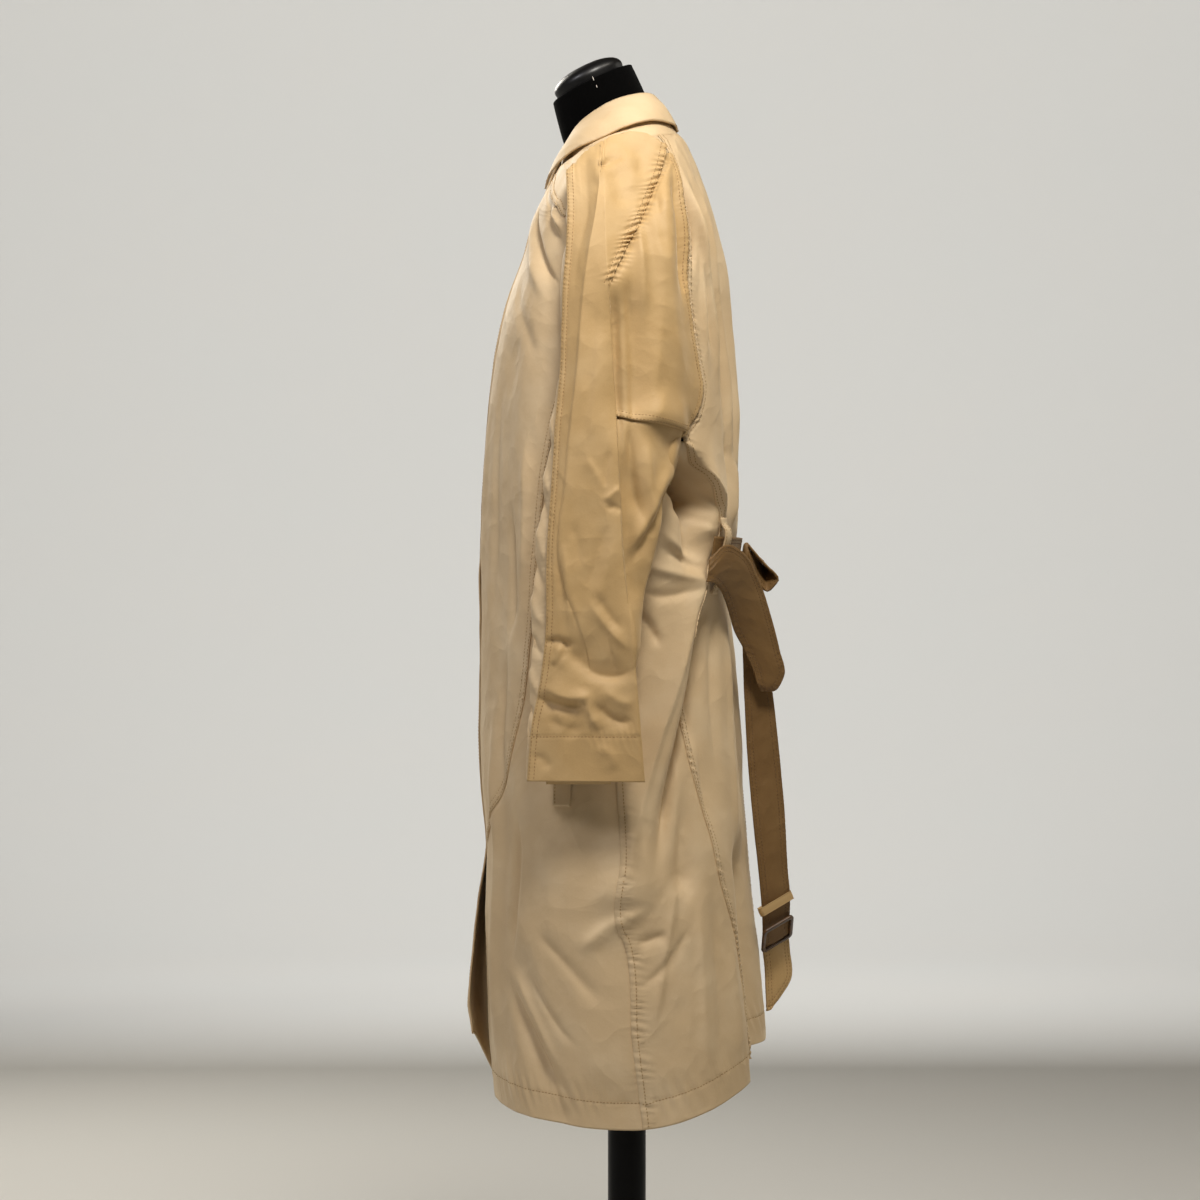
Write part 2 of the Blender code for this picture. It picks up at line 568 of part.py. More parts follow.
def sleeve_back_upper():
    """Back of the sleeve above the elbow seam: from the gathered seam to the armhole's back edge."""
    heights = np.array((1.090, 1.120, 1.151, 1.193, 1.232, 1.258, 1.286, 1.317, 1.340, 1.366))
    start = sleeve_line("end", heights)
    start[:, 0] -= LAP
    start[-1] = (0.1640, 0.0420, 1.366)
    hole = armhole_point("back", np.concatenate(([ELBOW_BACK], heights[1:])))
    hole[:, 0] += 0.001
    share = np.linspace(0.0, 1.0, 7)[None, :, None]
    grid = start[:, None, :] + share * (hole - start)[:, None, :]
    puff = np.sin(np.pi * share[..., 0]) * np.clip((1.362 - heights) / 0.05, 0.0, 1.0)[:, None]
    trough = np.exp(-((share[..., 0] - 0.28) / 0.12) ** 2) * np.clip((1.34 - heights) / 0.08, 0, 1)[:, None]
    grid[..., 0] += 0.020 * puff - 0.012 * trough
    return inset(grid)


def sleeve_back_lower():
    """Below the elbow seam: from behind the knife edge round to the layer next to the body."""
    heights = np.array((0.717, 0.748, 0.776, 0.820, 0.850, 0.877, 0.910, 0.943, 0.985, 1.024, 1.055))
    start = sleeve_line("end", heights)
    start[:, 0] -= LAP
    turn = under_line("back", heights)
    inner = np.stack((np.full_like(heights, SLEEVE_INSIDE), turn[:, 1] - 0.022, heights), axis=-1)
    top_start = sleeve_line("end", np.array((1.0885,)))[0] + np.array((-LAP, 0.0, 0.0))
    top_turn = body_point(117.0, 1.0760, ARMHOLE_STAND, folds=False)
    top_inner = body_point(108.0, 1.0680, ARMHOLE_STAND, folds=False)
    start = np.concatenate((start, [top_start]))
    turn = np.concatenate((turn, [top_turn]))
    inner = np.concatenate((inner, [top_inner]))
    out_middle = start * 0.5 + turn * 0.5 + np.array((0.003, 0.0, 0.0))
    out_late = start * 0.2 + turn * 0.8 + np.array((0.004, 0.0, 0.0))
    in_middle = turn * 0.5 + inner * 0.5 + np.array((-0.001, 0.004, 0.0))
    grid = np.stack((start, out_middle, out_late, turn, in_middle, inner), axis=1)
    return inset(grid)


def sleeve_under():
    """The layer next to the body, between the front and back strips, closing on the armpit."""
    heights = np.array((0.717, 0.748, 0.776, 0.820, 0.850, 0.877, 0.910, 0.943, 0.985, 1.024, 1.050))
    front = under_line("front", heights)[:, 1] + 0.0215
    back = under_line("back", heights)[:, 1] - 0.0240
    share = np.linspace(0.0, 1.0, 5)[None, :]
    y = back[:, None] + share * (front - back)[:, None]
    grid = np.stack((SLEEVE_INSIDE + 0.0 * y, y, np.repeat(heights[:, None], 5, axis=1)), axis=-1)
    armpit = body_point(np.linspace(106.0, 94.0, 5), np.full(5, 1.0675), ARMHOLE_STAND, folds=False)
    return np.concatenate((grid, armpit[None]))


both_sides("sleeve_top", sleeve_top(), cotton)
both_sides("sleeve_front", sleeve_front(), cotton)
both_sides("sleeve_back_upper", sleeve_back_upper(), cotton)
both_sides("sleeve_back_lower", sleeve_back_lower(), cotton)
both_sides("sleeve_under", sleeve_under(), cotton)


# ---- collar -------------------------------------------------------------------------------------
def collar_grid():
    """The fall, rows from its lower edge up to its fold, columns from the right front end round."""
    half = columns(COLLAR).T
    top = resample(half[:, 0:3], 11)
    low = resample(half[:, 3:6], 11)
    share = np.linspace(0.0, 1.0, 5)[:, None, None]
    grid = low[None] + share * (top - low)[None]
    middle = np.sin(np.pi * share[:, 0, 0])[:, None]
    grid[..., 0] += 0.004 * middle * np.sign(grid[..., 0])
    grid[..., 2] += 0.002 * middle
    other = grid[:, ::-1][:, 1:] * np.array((-1.0, 1.0, 1.0))
    return grid, other


def collar():
    """Fall and stand. The stand runs from the neckline up inside the fall."""
    left, right = collar_grid()
    whole = np.concatenate((left, right), axis=1)
    cloth_wall("collar_fall", whole, cotton)
    fold = whole[-1]
    stand_top = fold + np.array((0.0, 0.0, -0.0035))
    away = stand_top[:, :2] - np.array((0.0, -0.018))
    away /= np.linalg.norm(away, axis=1, keepdims=True)
    stand_top[:, :2] -= away * 0.0045
    foot = stand_top.copy()
    foot[:, :2] += away * np.interp(fold[:, 1], (-0.06, -0.02, 0.03), (0.002, 0.007, 0.0125))[:, None]
    foot[:, 2] = np.clip(stand_top[:, 2] - 0.012, 1.3712, 1.4095)
    share = np.linspace(0.0, 1.0, 3)[:, None, None]
    cloth_wall("collar_stand", foot[None] + share * (stand_top - foot)[None], cotton)


collar()


# ---- dress form, pole and base -------------------------------------------------------------------
def lofted(name, rings, material):
    """A closed solid through rings of equal size, each end closed by a fan round its middle."""
    rings = np.array(rings)
    count, sides = rings.shape[:2]
    verts = np.concatenate((rings.reshape(-1, 3), rings[0].mean(axis=0)[None], rings[-1].mean(axis=0)[None]))
    faces = []
    for r in range(count - 1):
        for c in range(sides):
            d = (c + 1) % sides
            faces.append((r * sides + c, r * sides + d, (r + 1) * sides + d, (r + 1) * sides + c))
    low, high = count * sides, count * sides + 1
    for c in range(sides):
        d = (c + 1) % sides
        faces.append((low, d, c))
        faces.append((high, (count - 1) * sides + c, (count - 1) * sides + d))
    return add_object(name, verts, faces, material)


def form_ring(z, centre_y, half_depth, half_width, lean, sides=24):
    """A level ellipse, tipped forward by lean about its own middle."""
    turn = np.linspace(0.0, 2 * np.pi, sides, endpoint=False)
    x = half_width * np.cos(turn)
    along = half_depth * np.sin(turn)
    tip = np.radians(lean)
    return np.stack((x, centre_y + along * np.cos(tip), z + along * np.sin(tip)), axis=1)


def dress_form():
    """Torso with its neck, and the domed cap on the neck."""
    lofted("form_torso", [form_ring(*row) for row in FORM], jersey)
    tip = np.radians(CAP_LEAN)
    up = np.array((-np.sin(tip), np.cos(tip)))
    rings = []
    for rise, size in ((0.0, 1.0), (CAP_RIM, 1.0), (0.62, 0.90), (0.86, 0.70), (0.97, 0.38)):
        lift = rise if size == 1.0 else CAP_RIM + rise * (CAP_HEIGHT - CAP_RIM)
        middle = np.array(CAP_CENTRE) + up * lift
        rings.append(form_ring(middle[1], middle[0], CAP_HALF_DEPTH * size, CAP_HALF_WIDTH * size, CAP_LEAN))
    lofted("form_neck_cap", rings, lacquer)


def turned(name, profile, material, sides=32):
    """A solid turned about the upright axis: profile rows are radius and height, from the bottom up."""
    turn = np.linspace(0.0, 2 * np.pi, sides, endpoint=False)
    circle = np.stack((np.cos(turn), np.sin(turn)), axis=1)
    rings = [np.column_stack((circle * radius, np.full(sides, height))) for radius, height in profile]
    lofted(name, rings, material)


def stand():
    """Round base and the pole that stands on it."""
    bevel = 0.003
    turned("stand_base", ((BASE_RADIUS - 0.002, 0.0), (BASE_RADIUS, 0.002),
                          (BASE_RADIUS, BASE_THICKNESS - bevel), (BASE_RADIUS - bevel, BASE_THICKNESS)),
           lacquer, 48)
    foot = BASE_THICKNESS + 0.0003
    turned("stand_pole", ((POLE_RADIUS, foot), (POLE_RADIUS, POLE_TOP)), lacquer)


dress_form()
stand()


# ---- belt ---------------------------------------------------------------------------------------
def ribbon(name, rows, count, material=cotton_shade, across=3):
    """A strap between its two long edges, which are smooth curves through the rows."""
    edges = resample(rows, count)
    share = np.linspace(0.0, 1.0, across)[None, :, None]
    grid = edges[:, None, 0:3] + share * (edges[:, None, 3:6] - edges[:, None, 0:3])
    cloth_wall(name, grid, material, BELT_CLOTH)


ribbon("belt_drape", BELT_DRAPE[::-1], 18)
ribbon("belt_end_buckled", BELT_HANG[::-1], 12)
ribbon("belt_end_pointed", BELT_TIP[::-1], 9, cotton)


def belt_bow():
    """The belt's folded end behind the knot, out to its point and back."""
    path = resample(BELT_BOW, 14)
    near = np.column_stack((np.full(len(path), BOW_NEAR_X), path))
    far = near + np.array(BOW_WIDTH)
    share = np.linspace(0.0, 1.0, 3)[None, :, None]
    grid = near[:, None] + share * (far - near)[:, None]
    cloth_wall("belt_bow", grid, cotton_shade, BELT_CLOTH * 0.8)


def belt_band():
    """The belt across the back, from one side seam to the other, standing off the cloth."""
    angle = np.linspace(137.5, 180.0, 9)
    angle = np.concatenate((angle, 360.0 - angle[-2::-1]))
    low, high = BAND_MIDDLE - BAND_HEIGHT / 2, BAND_MIDDLE + BAND_HEIGHT / 2
    height = np.linspace(low, high, 3)[:, None]
    grid = body_point(angle[None, :] + 0 * height, height + 0 * angle[None, :], BAND_STAND + BELT_CLOTH)
    cloth_wall("belt_band", grid, cotton_shade, BELT_CLOTH)


def carriers():
    """Narrow loops sewn above and below the band."""
    rise = np.array((0.988, 0.982, 0.976, 0.948, 0.920, 0.914, 0.908))[::-1]
    stand_off = np.array((0.002, 0.0035, 0.0085, 0.0095, 0.0085, 0.0035, 0.002))
    half = np.degrees(CARRIER_WIDTH / 2 / 0.13)
    angle = CARRIER_ANGLE + np.array((-half, half))
    grid = np.stack([body_point(np.full(7, a), rise, stand_off + CLOTH) for a in angle], axis=1)
    both_sides("belt_carrier", grid, cotton, CLOTH)


belt_band()
carriers()


def ring_solid(name, sections, material):
    """A closed ring swept through four paths: outside near, outside far, inside far, inside near."""
    count = len(sections[0])
    faces = []
    for a in range(4):
        b = (a + 1) % 4
        for i in range(count):
            j = (i + 1) % count
            faces.append((a * count + i, a * count + j, b * count + j, b * count + i))
    piece = add_object(name, np.concatenate(sections), faces, material)
    bm = bmesh.new()
    bm.from_mesh(piece.data)
    bmesh.ops.recalc_face_normals(bm, faces=bm.faces)
    bm.to_mesh(piece.data)
    bm.free()


def rounded_frame(half_a, half_b, corner):
    """Sixteen points of a rectangle with rounded corners."""
    turn = np.radians(np.arange(0.0, 360.0, 22.5) + 11.25)
    a, b = np.cos(turn), np.sin(turn)
    return np.column_stack((np.sign(a) * (half_a - corner) + a * corner,
                            np.sign(b) * (half_b - corner) + b * corner))


def wrapped_band(name, centre, axes, half_a, half_b, width, material, thickness):
    """A band of cloth round something, its section in the plane of the first two axes."""
    a, b, along = (np.array(axis) / np.linalg.norm(axis) for axis in axes)
    corner = min(half_a, half_b) * 0.95
    outer = rounded_frame(half_a, half_b, corner)
    inner = rounded_frame(half_a - thickness, half_b - thickness, max(corner - thickness, 0.0002))
    near, far = np.array(centre) - along * width / 2, np.array(centre) + along * width / 2
    def placed(path, end):
        return end + path[:, :1] * a + path[:, 1:] * b
    ring_solid(name, (placed(outer, near), placed(outer, far), placed(inner, far), placed(inner, near)),
               material)


def knot():
    """The belt's layers wrapped tight: a rounded pad on the band."""
    path = rounded_frame(*KNOT_HALF, min(KNOT_HALF) * 0.95)
    rings = []
    for side, size in ((-1.0, 0.8), (-0.85, 1.0), (0.85, 1.0), (1.0, 0.8)):
        x = np.full(len(path), KNOT_CENTRE[0] + side * KNOT_WIDTH / 2)
        rings.append(np.column_stack((x, KNOT_CENTRE[1] + path[:, 0] * size,
                                      KNOT_CENTRE[2] + path[:, 1] * size)))
    lofted("belt_knot", rings, cotton_shade)


def buckle():
    """Rectangular frame at the belt's end, and the keeper that holds the strap above it."""
    across = np.array(BUCKLE_ACROSS) / np.linalg.norm(BUCKLE_ACROSS)
    down = np.array(BUCKLE_DOWN) / np.linalg.norm(BUCKLE_DOWN)
    face = np.cross(across, down)
    centre = np.array(BUCKLE_CENTRE)
    outer = rounded_frame(BUCKLE_WIDTH / 2, BUCKLE_HEIGHT / 2, 0.006)
    inner = rounded_frame(BUCKLE_WIDTH / 2 - BUCKLE_WIRE, BUCKLE_HEIGHT / 2 - BUCKLE_WIRE, 0.002)
    half = face * BUCKLE_DEPTH / 2
    paths = []
    for path, level in ((outer, -half), (outer, half), (inner, half), (inner, -half)):
        paths.append(centre + level + path[:, :1] * across + path[:, 1:] * down)
    ring_solid("belt_buckle", paths, horn)
    along = np.array(KEEPER_DOWN) - across * np.dot(KEEPER_DOWN, across)
    wrapped_band("belt_keeper", KEEPER_CENTRE, (across, np.cross(across, along), along), *KEEPER_HALF,
                 KEEPER_WIDTH, cotton_shade, KEEPER_CLOTH)


belt_bow()
knot()
buckle()


# ---- pockets ------------------------------------------------------------------------------------
def pocket_welt():
    """A narrow upright welt on the side front panel, standing just off it."""
    height, angle_front, angle_back = columns(POCKET)
    angle = np.stack((angle_front, (angle_front + angle_back) / 2, angle_back), axis=1)
    rise = np.repeat(height[:, None], 3, axis=1)
    grid = body_point(angle, rise, POCKET_STAND)
    normals = body_normal(angle, rise)
    cloth_wall("coat_pocket_welt_left", grid, cotton, normals=normals)
    cloth_wall("coat_pocket_welt_right", mirrored(grid), cotton, normals=mirrored(normals))


pocket_welt()
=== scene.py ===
"""Looks of a belted cotton trench coat on a black dress form: cloth, stitching, horn and lacquer.

Metres, +Z up; the coat's front faces -Y and the wearer's left is +X. The file follows the coat as it is
put together, from the stand up, and ends with the room, the lights and the camera.
"""

import bpy
import numpy as np
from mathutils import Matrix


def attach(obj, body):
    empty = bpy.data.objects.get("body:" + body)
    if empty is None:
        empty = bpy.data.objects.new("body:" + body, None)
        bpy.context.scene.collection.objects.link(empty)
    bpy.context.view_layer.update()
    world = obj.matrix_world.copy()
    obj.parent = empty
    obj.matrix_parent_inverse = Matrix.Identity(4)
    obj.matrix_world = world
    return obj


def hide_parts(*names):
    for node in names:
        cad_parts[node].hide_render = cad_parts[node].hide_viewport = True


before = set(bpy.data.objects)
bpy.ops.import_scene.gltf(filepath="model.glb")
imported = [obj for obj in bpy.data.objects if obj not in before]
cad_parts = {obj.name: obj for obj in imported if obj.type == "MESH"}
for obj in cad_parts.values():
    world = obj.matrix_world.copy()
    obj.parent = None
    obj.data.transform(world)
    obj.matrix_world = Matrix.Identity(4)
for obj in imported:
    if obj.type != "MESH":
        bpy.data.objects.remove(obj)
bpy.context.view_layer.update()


# ---- Stand: a round steel base and a straight tube pole, both sprayed black ----------------------
# The pole is welded to the base. Sprayed paint leaves a fine orange peel, which softens highlights.
BASE_RADIUS, BASE_THICKNESS, BASE_EDGE = 0.225, 0.014, 0.004
POLE_RADIUS, POLE_FOOT, POLE_TOP = 0.0205, 0.0143, 0.792
PAINT_BLACK = "#040404"
ORANGE_PEEL = 0.0012        # metres from one bump of the paint to the next


def linear(code):
    """Linear RGBA of an sRGB hex: c / 12.92 under 0.04045, else ((c + 0.055) / 1.055) to the 2.4."""
    c = np.array([int(code[i:i + 2], 16) for i in (1, 3, 5)]) / 255
    return (*np.where(c < 0.04045, c / 12.92, ((c + 0.055) / 1.055) ** 2.4).tolist(), 1.0)


def node(tree, kind, links=None, **settings):
    """Add a shader node. settings are its properties; links maps sockets to values or outputs."""
    made = tree.nodes.new(kind)
    for name, value in settings.items():
        setattr(made, name, value)
    for name, value in (links or {}).items():
        if isinstance(value, bpy.types.NodeSocket):
            tree.links.new(value, made.inputs[name])
        else:
            made.inputs[name].default_value = value
    return made


def new_material(name, **values):
    """A material with its Principled shader's own sockets set; returns it with its tree and shader."""
    material = bpy.data.materials.new(name)
    material.use_nodes = True
    shader = material.node_tree.nodes["Principled BSDF"]
    for socket, value in values.items():
        shader.inputs[socket.replace("_", " ")].default_value = value
    return material, material.node_tree, shader


def noise(tree, place, size, detail=2.0, roughness=0.5):
    """A noise texture whose cells are size metres across."""
    return node(tree, "ShaderNodeTexNoise", {"Vector": place, "Scale": 1.0 / size, "Detail": detail,
                                             "Roughness": roughness})


def bumped(tree, height, strength, distance, normal=None):
    """Normal output of a bump, its distance in metres, over an earlier normal if one is given."""
    links = {"Height": height, "Strength": strength, "Distance": distance}
    if normal is not None:
        links["Normal"] = normal
    return node(tree, "ShaderNodeBump", links).outputs["Normal"]


def worn_gloss(tree, shader, place, size, low, high):
    """Let the roughness wander from low to high, in patches about size metres across."""
    wear = noise(tree, place, size, 4.0)
    rough = node(tree, "ShaderNodeMapRange", {"Value": wear.outputs["Fac"], "To Min": low, "To Max": high})
    tree.links.new(rough.outputs["Result"], shader.inputs["Roughness"])


def mesh_piece(name, verts, faces, material, stands_for=(), uv=None):
    """Make the mesh from arrays, shade it smooth, and tie it to the frame."""
    mesh = bpy.data.meshes.new(name)
    mesh.from_pydata(verts.tolist(), [], faces)
    if uv is not None:
        corner = np.empty(len(mesh.loops), dtype=np.int32)
        mesh.loops.foreach_get("vertex_index", corner)
        mesh.uv_layers.new(name="cut").data.foreach_set("uv", uv[corner].ravel())
    mesh.materials.append(material)
    mesh.shade_smooth()
    piece = bpy.data.objects.new(name, mesh)
    bpy.context.collection.objects.link(piece)
    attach(piece, "root")
    if stands_for:
        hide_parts(*stands_for)
    return piece


def lofted(name, rings, material, stands_for):
    """A closed solid through rings of equal count from the bottom up, each end closed by a fan."""
    count, sides = rings.shape[:2]
    index = np.arange(count * sides).reshape(count, sides)
    near, far = index[:-1], index[1:]
    walls = np.stack((near, np.roll(near, -1, 1), np.roll(far, -1, 1), far), axis=-1).reshape(-1, 4)
    low, high = count * sides, count * sides + 1
    floor = np.stack((np.full(sides, low), np.roll(index[0], -1), index[0]), axis=1)
    roof = np.stack((np.full(sides, high), index[-1], np.roll(index[-1], -1)), axis=1)
    verts = np.concatenate((rings.reshape(-1, 3), rings[:1].mean(axis=1), rings[-1:].mean(axis=1)))
    return mesh_piece(name, verts, walls.tolist() + floor.tolist() + roof.tolist(), material,
                      stands_for)


def turned(profile, sides=128):
    """Rings of a profile of (radius, height) turned about the upright axis."""
    turn = np.linspace(0, 2 * np.pi, sides, endpoint=False)
    radius, height = np.array(profile).T[:, :, None]
    return np.stack((radius * np.cos(turn), radius * np.sin(turn), height + 0 * turn), axis=-1)


def sprayed_paint():
    """Sprayed black enamel: satin, with orange peel that breaks the highlight's edge."""
    material, tree, shader = new_material("SprayedBlackEnamel", Base_Color=linear(PAINT_BLACK),
                                          Roughness=0.36, Specular_IOR_Level=0.15)
    place = node(tree, "ShaderNodeTexCoord").outputs["Object"]
    worn_gloss(tree, shader, place, 0.05, 0.28, 0.44)
    peel = noise(tree, place, ORANGE_PEEL)
    tree.links.new(bumped(tree, peel.outputs["Fac"], 0.08, 0.0002), shader.inputs["Normal"])
    return material


enamel = sprayed_paint()
edge = np.radians(np.linspace(0, 90, 9))
base_profile = ([(BASE_RADIUS - 0.002, 0.0), (BASE_RADIUS, 0.002)]
                + [(BASE_RADIUS - BASE_EDGE * (1 - np.cos(a)), BASE_THICKNESS - BASE_EDGE * (1 - np.sin(a)))
                   for a in edge] + [(0.12, BASE_THICKNESS), (0.03, BASE_THICKNESS)])
lofted("stand_base_disc", turned(base_profile, 160), enamel, ["stand_base"])
pole_profile = [(POLE_RADIUS, z) for z in np.linspace(POLE_FOOT, POLE_TOP, 9)]
lofted("stand_pole_tube", turned(pole_profile), enamel, ["stand_pole"])


# ---- Dress form: a moulded torso with a neck, covered in black jersey ----------------------------
# The jersey is stretched over the shell and closed by a seam down each side. Only the neck shows.
FORM = (
    # z centre_y half_depth half_width lean: rings square to the form's axis, lean in degrees
    (0.800, -0.012, 0.070, 0.105, 0.0),
    (0.812, -0.012, 0.088, 0.130, 0.0),
    (0.860, -0.013, 0.098, 0.142, 0.0),
    (0.950, -0.016, 0.078, 0.116, 0.0),
    (1.050, -0.015, 0.090, 0.130, 0.0),
    (1.150, -0.014, 0.100, 0.146, 0.0),
    (1.230, -0.013, 0.094, 0.152, 0.0),
    (1.300, -0.012, 0.078, 0.150, 0.0),
    (1.340, -0.011, 0.066, 0.134, 0.0),
    (1.364, -0.011, 0.056, 0.104, 2.0),
    (1.380, -0.012, 0.0535, 0.070, 6.0),
    (1.395, -0.015, 0.0520, 0.0475, 10.0),
    (1.420, -0.023, 0.0505, 0.0440, 16.0),
    (1.445, -0.032, 0.0485, 0.0435, 22.0),
    (1.4595, -0.0375, 0.0470, 0.0430, 26.0),
)
JERSEY_BLACK, JERSEY_WORN = "#030303", "#060606"
JERSEY_RIB = 0.0011         # metres from rib to rib, drawn a little coarser than it is knitted
NECK_RADIUS = 0.045         # where that distance holds
NECK_TACKS = ((-0.0362, 1.4592, 0.0024), (-0.0325, 1.4508, 0.0016))    # y, z and half length of a stitch
NECK_RIM = 0.0016           # radius of the jersey's edge where it turns in under the cap
NECK_END = 1.4580           # where the form's axis meets the cap


def columns(rows):
    """The table's columns as arrays."""
    return np.array(rows, dtype=float).T


def smooth(at, knots, values):
    """Cubic through the knots: each slope is that of the parabola through a knot and its neighbours."""
    slopes = np.gradient(values, knots)
    at = np.clip(at, knots[0], knots[-1])
    i = np.clip(np.searchsorted(knots, at, side="right") - 1, 0, len(knots) - 2)
    span = knots[i + 1] - knots[i]
    u = (at - knots[i]) / span
    bend = slopes[i] * span * u * (1 - u) ** 2 - slopes[i + 1] * span * u ** 2 * (1 - u)
    return values[i] + (values[i + 1] - values[i]) * (3 * u ** 2 - 2 * u ** 3) + bend


def tipped_ring(z, centre_y, half_depth, half_width, lean, sides=96):
    """Ellipses, one for each z, tipped forward by lean about their own middles."""
    turn = np.linspace(0, 2 * np.pi, sides, endpoint=False)
    z, centre_y, half_depth, half_width, tip = (np.atleast_1d(v)[:, None] for v in
                                                (z, centre_y, half_depth, half_width, np.radians(lean)))
    x = half_width * np.cos(turn)
    along = half_depth * np.sin(turn)
    return np.stack((x, centre_y + along * np.cos(tip), z + along * np.sin(tip)), axis=-1)


def reckoned(tree, operation, *values):
    """Output of a math node."""
    return node(tree, "ShaderNodeMath", dict(enumerate(values)), operation=operation).outputs[0]


def dyed_between(tree, share, low, high):
    """Colour output that goes from low to high, each an sRGB hex or another node's output."""
    low, high = (linear(tone) if isinstance(tone, str) else tone for tone in (low, high))
    return node(tree, "ShaderNodeMix", {0: share, 6: low, 7: high}, data_type="RGBA").outputs[2]


def jersey():
    """Black knitted jersey: fine upright ribs, a soft nap and no gloss."""
    material, tree, shader = new_material("BlackCottonJersey", Roughness=0.9, Sheen_Weight=0.02,
                                          Sheen_Roughness=0.5, Specular_IOR_Level=0.02)
    place = node(tree, "ShaderNodeTexCoord").outputs["Object"]
    parts = node(tree, "ShaderNodeSeparateXYZ", {"Vector": place})
    around = reckoned(tree, "ARCTAN2", parts.outputs["X"], parts.outputs["Y"])
    ribs = reckoned(tree, "MULTIPLY", around, NECK_RADIUS * 2 * np.pi / JERSEY_RIB)
    lint = noise(tree, place, 0.004, 3.0)
    tree.links.new(dyed_between(tree, lint.outputs["Fac"], JERSEY_BLACK, JERSEY_WORN),
                   shader.inputs["Base Color"])
    tree.links.new(bumped(tree, reckoned(tree, "SINE", ribs), 0.25, 0.0002), shader.inputs["Normal"])
    return material


def sewing_thread(name, colour):
    """Spun polyester thread: matte, a touch darker than the cloth, with the ply's twist as bump."""
    material, tree, shader = new_material(name, Base_Color=linear(colour), Roughness=0.55)
    place = node(tree, "ShaderNodeTexCoord").outputs["Object"]
    ply = noise(tree, place, 0.0006)
    tree.links.new(bumped(tree, ply.outputs["Fac"], 0.4, 0.0001), shader.inputs["Normal"])
    return material


form_rows = columns(FORM)
form_heights = np.concatenate((np.linspace(0.800, 1.360, 33), np.linspace(1.364, 1.4575, 44)))
form_sizes = [smooth(form_heights, form_rows[0], column) for column in form_rows[1:]]
form_rings = tipped_ring(form_heights, *form_sizes)
neck = [float(smooth(NECK_END, form_rows[0], column)) for column in form_rows[1:]]
rim = np.radians(np.linspace(15, 90, 6))
neck_edge = tipped_ring(NECK_END + NECK_RIM * np.sin(rim), neck[0] + 0 * rim,
                        neck[1] - NECK_RIM * (1 - np.cos(rim)), neck[2] - NECK_RIM * (1 - np.cos(rim)),
                        neck[3] + 0 * rim)
knit = jersey()
lofted("form_torso_jersey", np.concatenate((form_rings, neck_edge)), knit, ["form_torso"])
skin = form_rings[form_rings[..., 0] > 0]
tack_thread = sewing_thread("WhiteTackingThread", "#DAD6CC")
for place, (y, z, half_length) in enumerate(NECK_TACKS):
    x = skin[np.argmin(np.hypot(skin[:, 1] - y, skin[:, 2] - z)), 0]
    run = np.linspace(-1.0, 1.0, 9)[:, None]
    turn = np.linspace(0, 2 * np.pi, 8, endpoint=False)[None]
    thick = 0.00045 * np.sqrt(1.02 - run ** 2)
    tack = np.stack((x + thick * np.cos(turn), y + 0.30 * half_length * run + thick * np.sin(turn),
                     z - 0.95 * half_length * run - 0.3 * thick * np.sin(turn)), axis=-1)
    lofted(f"form_neck_tack_{place + 1}", tack[::-1], tack_thread, ())


# ---- Neck cap: a turned wooden disc with a low dome, lacquered black -----------------------------
# It is screwed on the neck's top, with a thin rim that stands just off the jersey.
CAP_LEAN = 26.0
CAP_CENTRE = (-0.0410, 1.4640)
CAP_HALF_DEPTH, CAP_HALF_WIDTH = 0.0400, 0.0365
CAP_HEIGHT = 0.0150
CAP_PROFILE = (
    # share_of_radius share_of_height: the foot in the neck, the low rim, then the dome
    (0.86, -0.60), (0.94, -0.58), (0.975, -0.40), (0.985, -0.20), (0.995, -0.08), (1.000, 0.04),
    (0.998, 0.14), (0.985, 0.26), (0.96, 0.38), (0.92, 0.50), (0.86, 0.62), (0.78, 0.73), (0.68, 0.83),
    (0.56, 0.905), (0.42, 0.955), (0.27, 0.985), (0.14, 0.998), (0.04, 1.00),
)


def lacquer():
    """Polished black lacquer: a hard clear coat over a nearly black ground, faintly uneven."""
    material, tree, shader = new_material("BlackLacquer", Base_Color=linear("#060607"), Roughness=0.4,
                                          Coat_Weight=0.15, Coat_Roughness=0.3, IOR=1.4)
    place = node(tree, "ShaderNodeTexCoord").outputs["Object"]
    worn_gloss(tree, shader, place, 0.012, 0.34, 0.5)
    return material


share_out, share_up = columns(CAP_PROFILE)
cap_up = np.array((-np.sin(np.radians(CAP_LEAN)), np.cos(np.radians(CAP_LEAN))))
cap_middle = np.array(CAP_CENTRE) + cap_up * CAP_HEIGHT * share_up[:, None]
cap_rings = tipped_ring(cap_middle[:, 1], cap_middle[:, 0], CAP_HALF_DEPTH * share_out,
                        CAP_HALF_WIDTH * share_out, np.full(len(share_out), CAP_LEAN))
lofted("form_neck_cap_dome", cap_rings, lacquer(), ["form_neck_cap"])


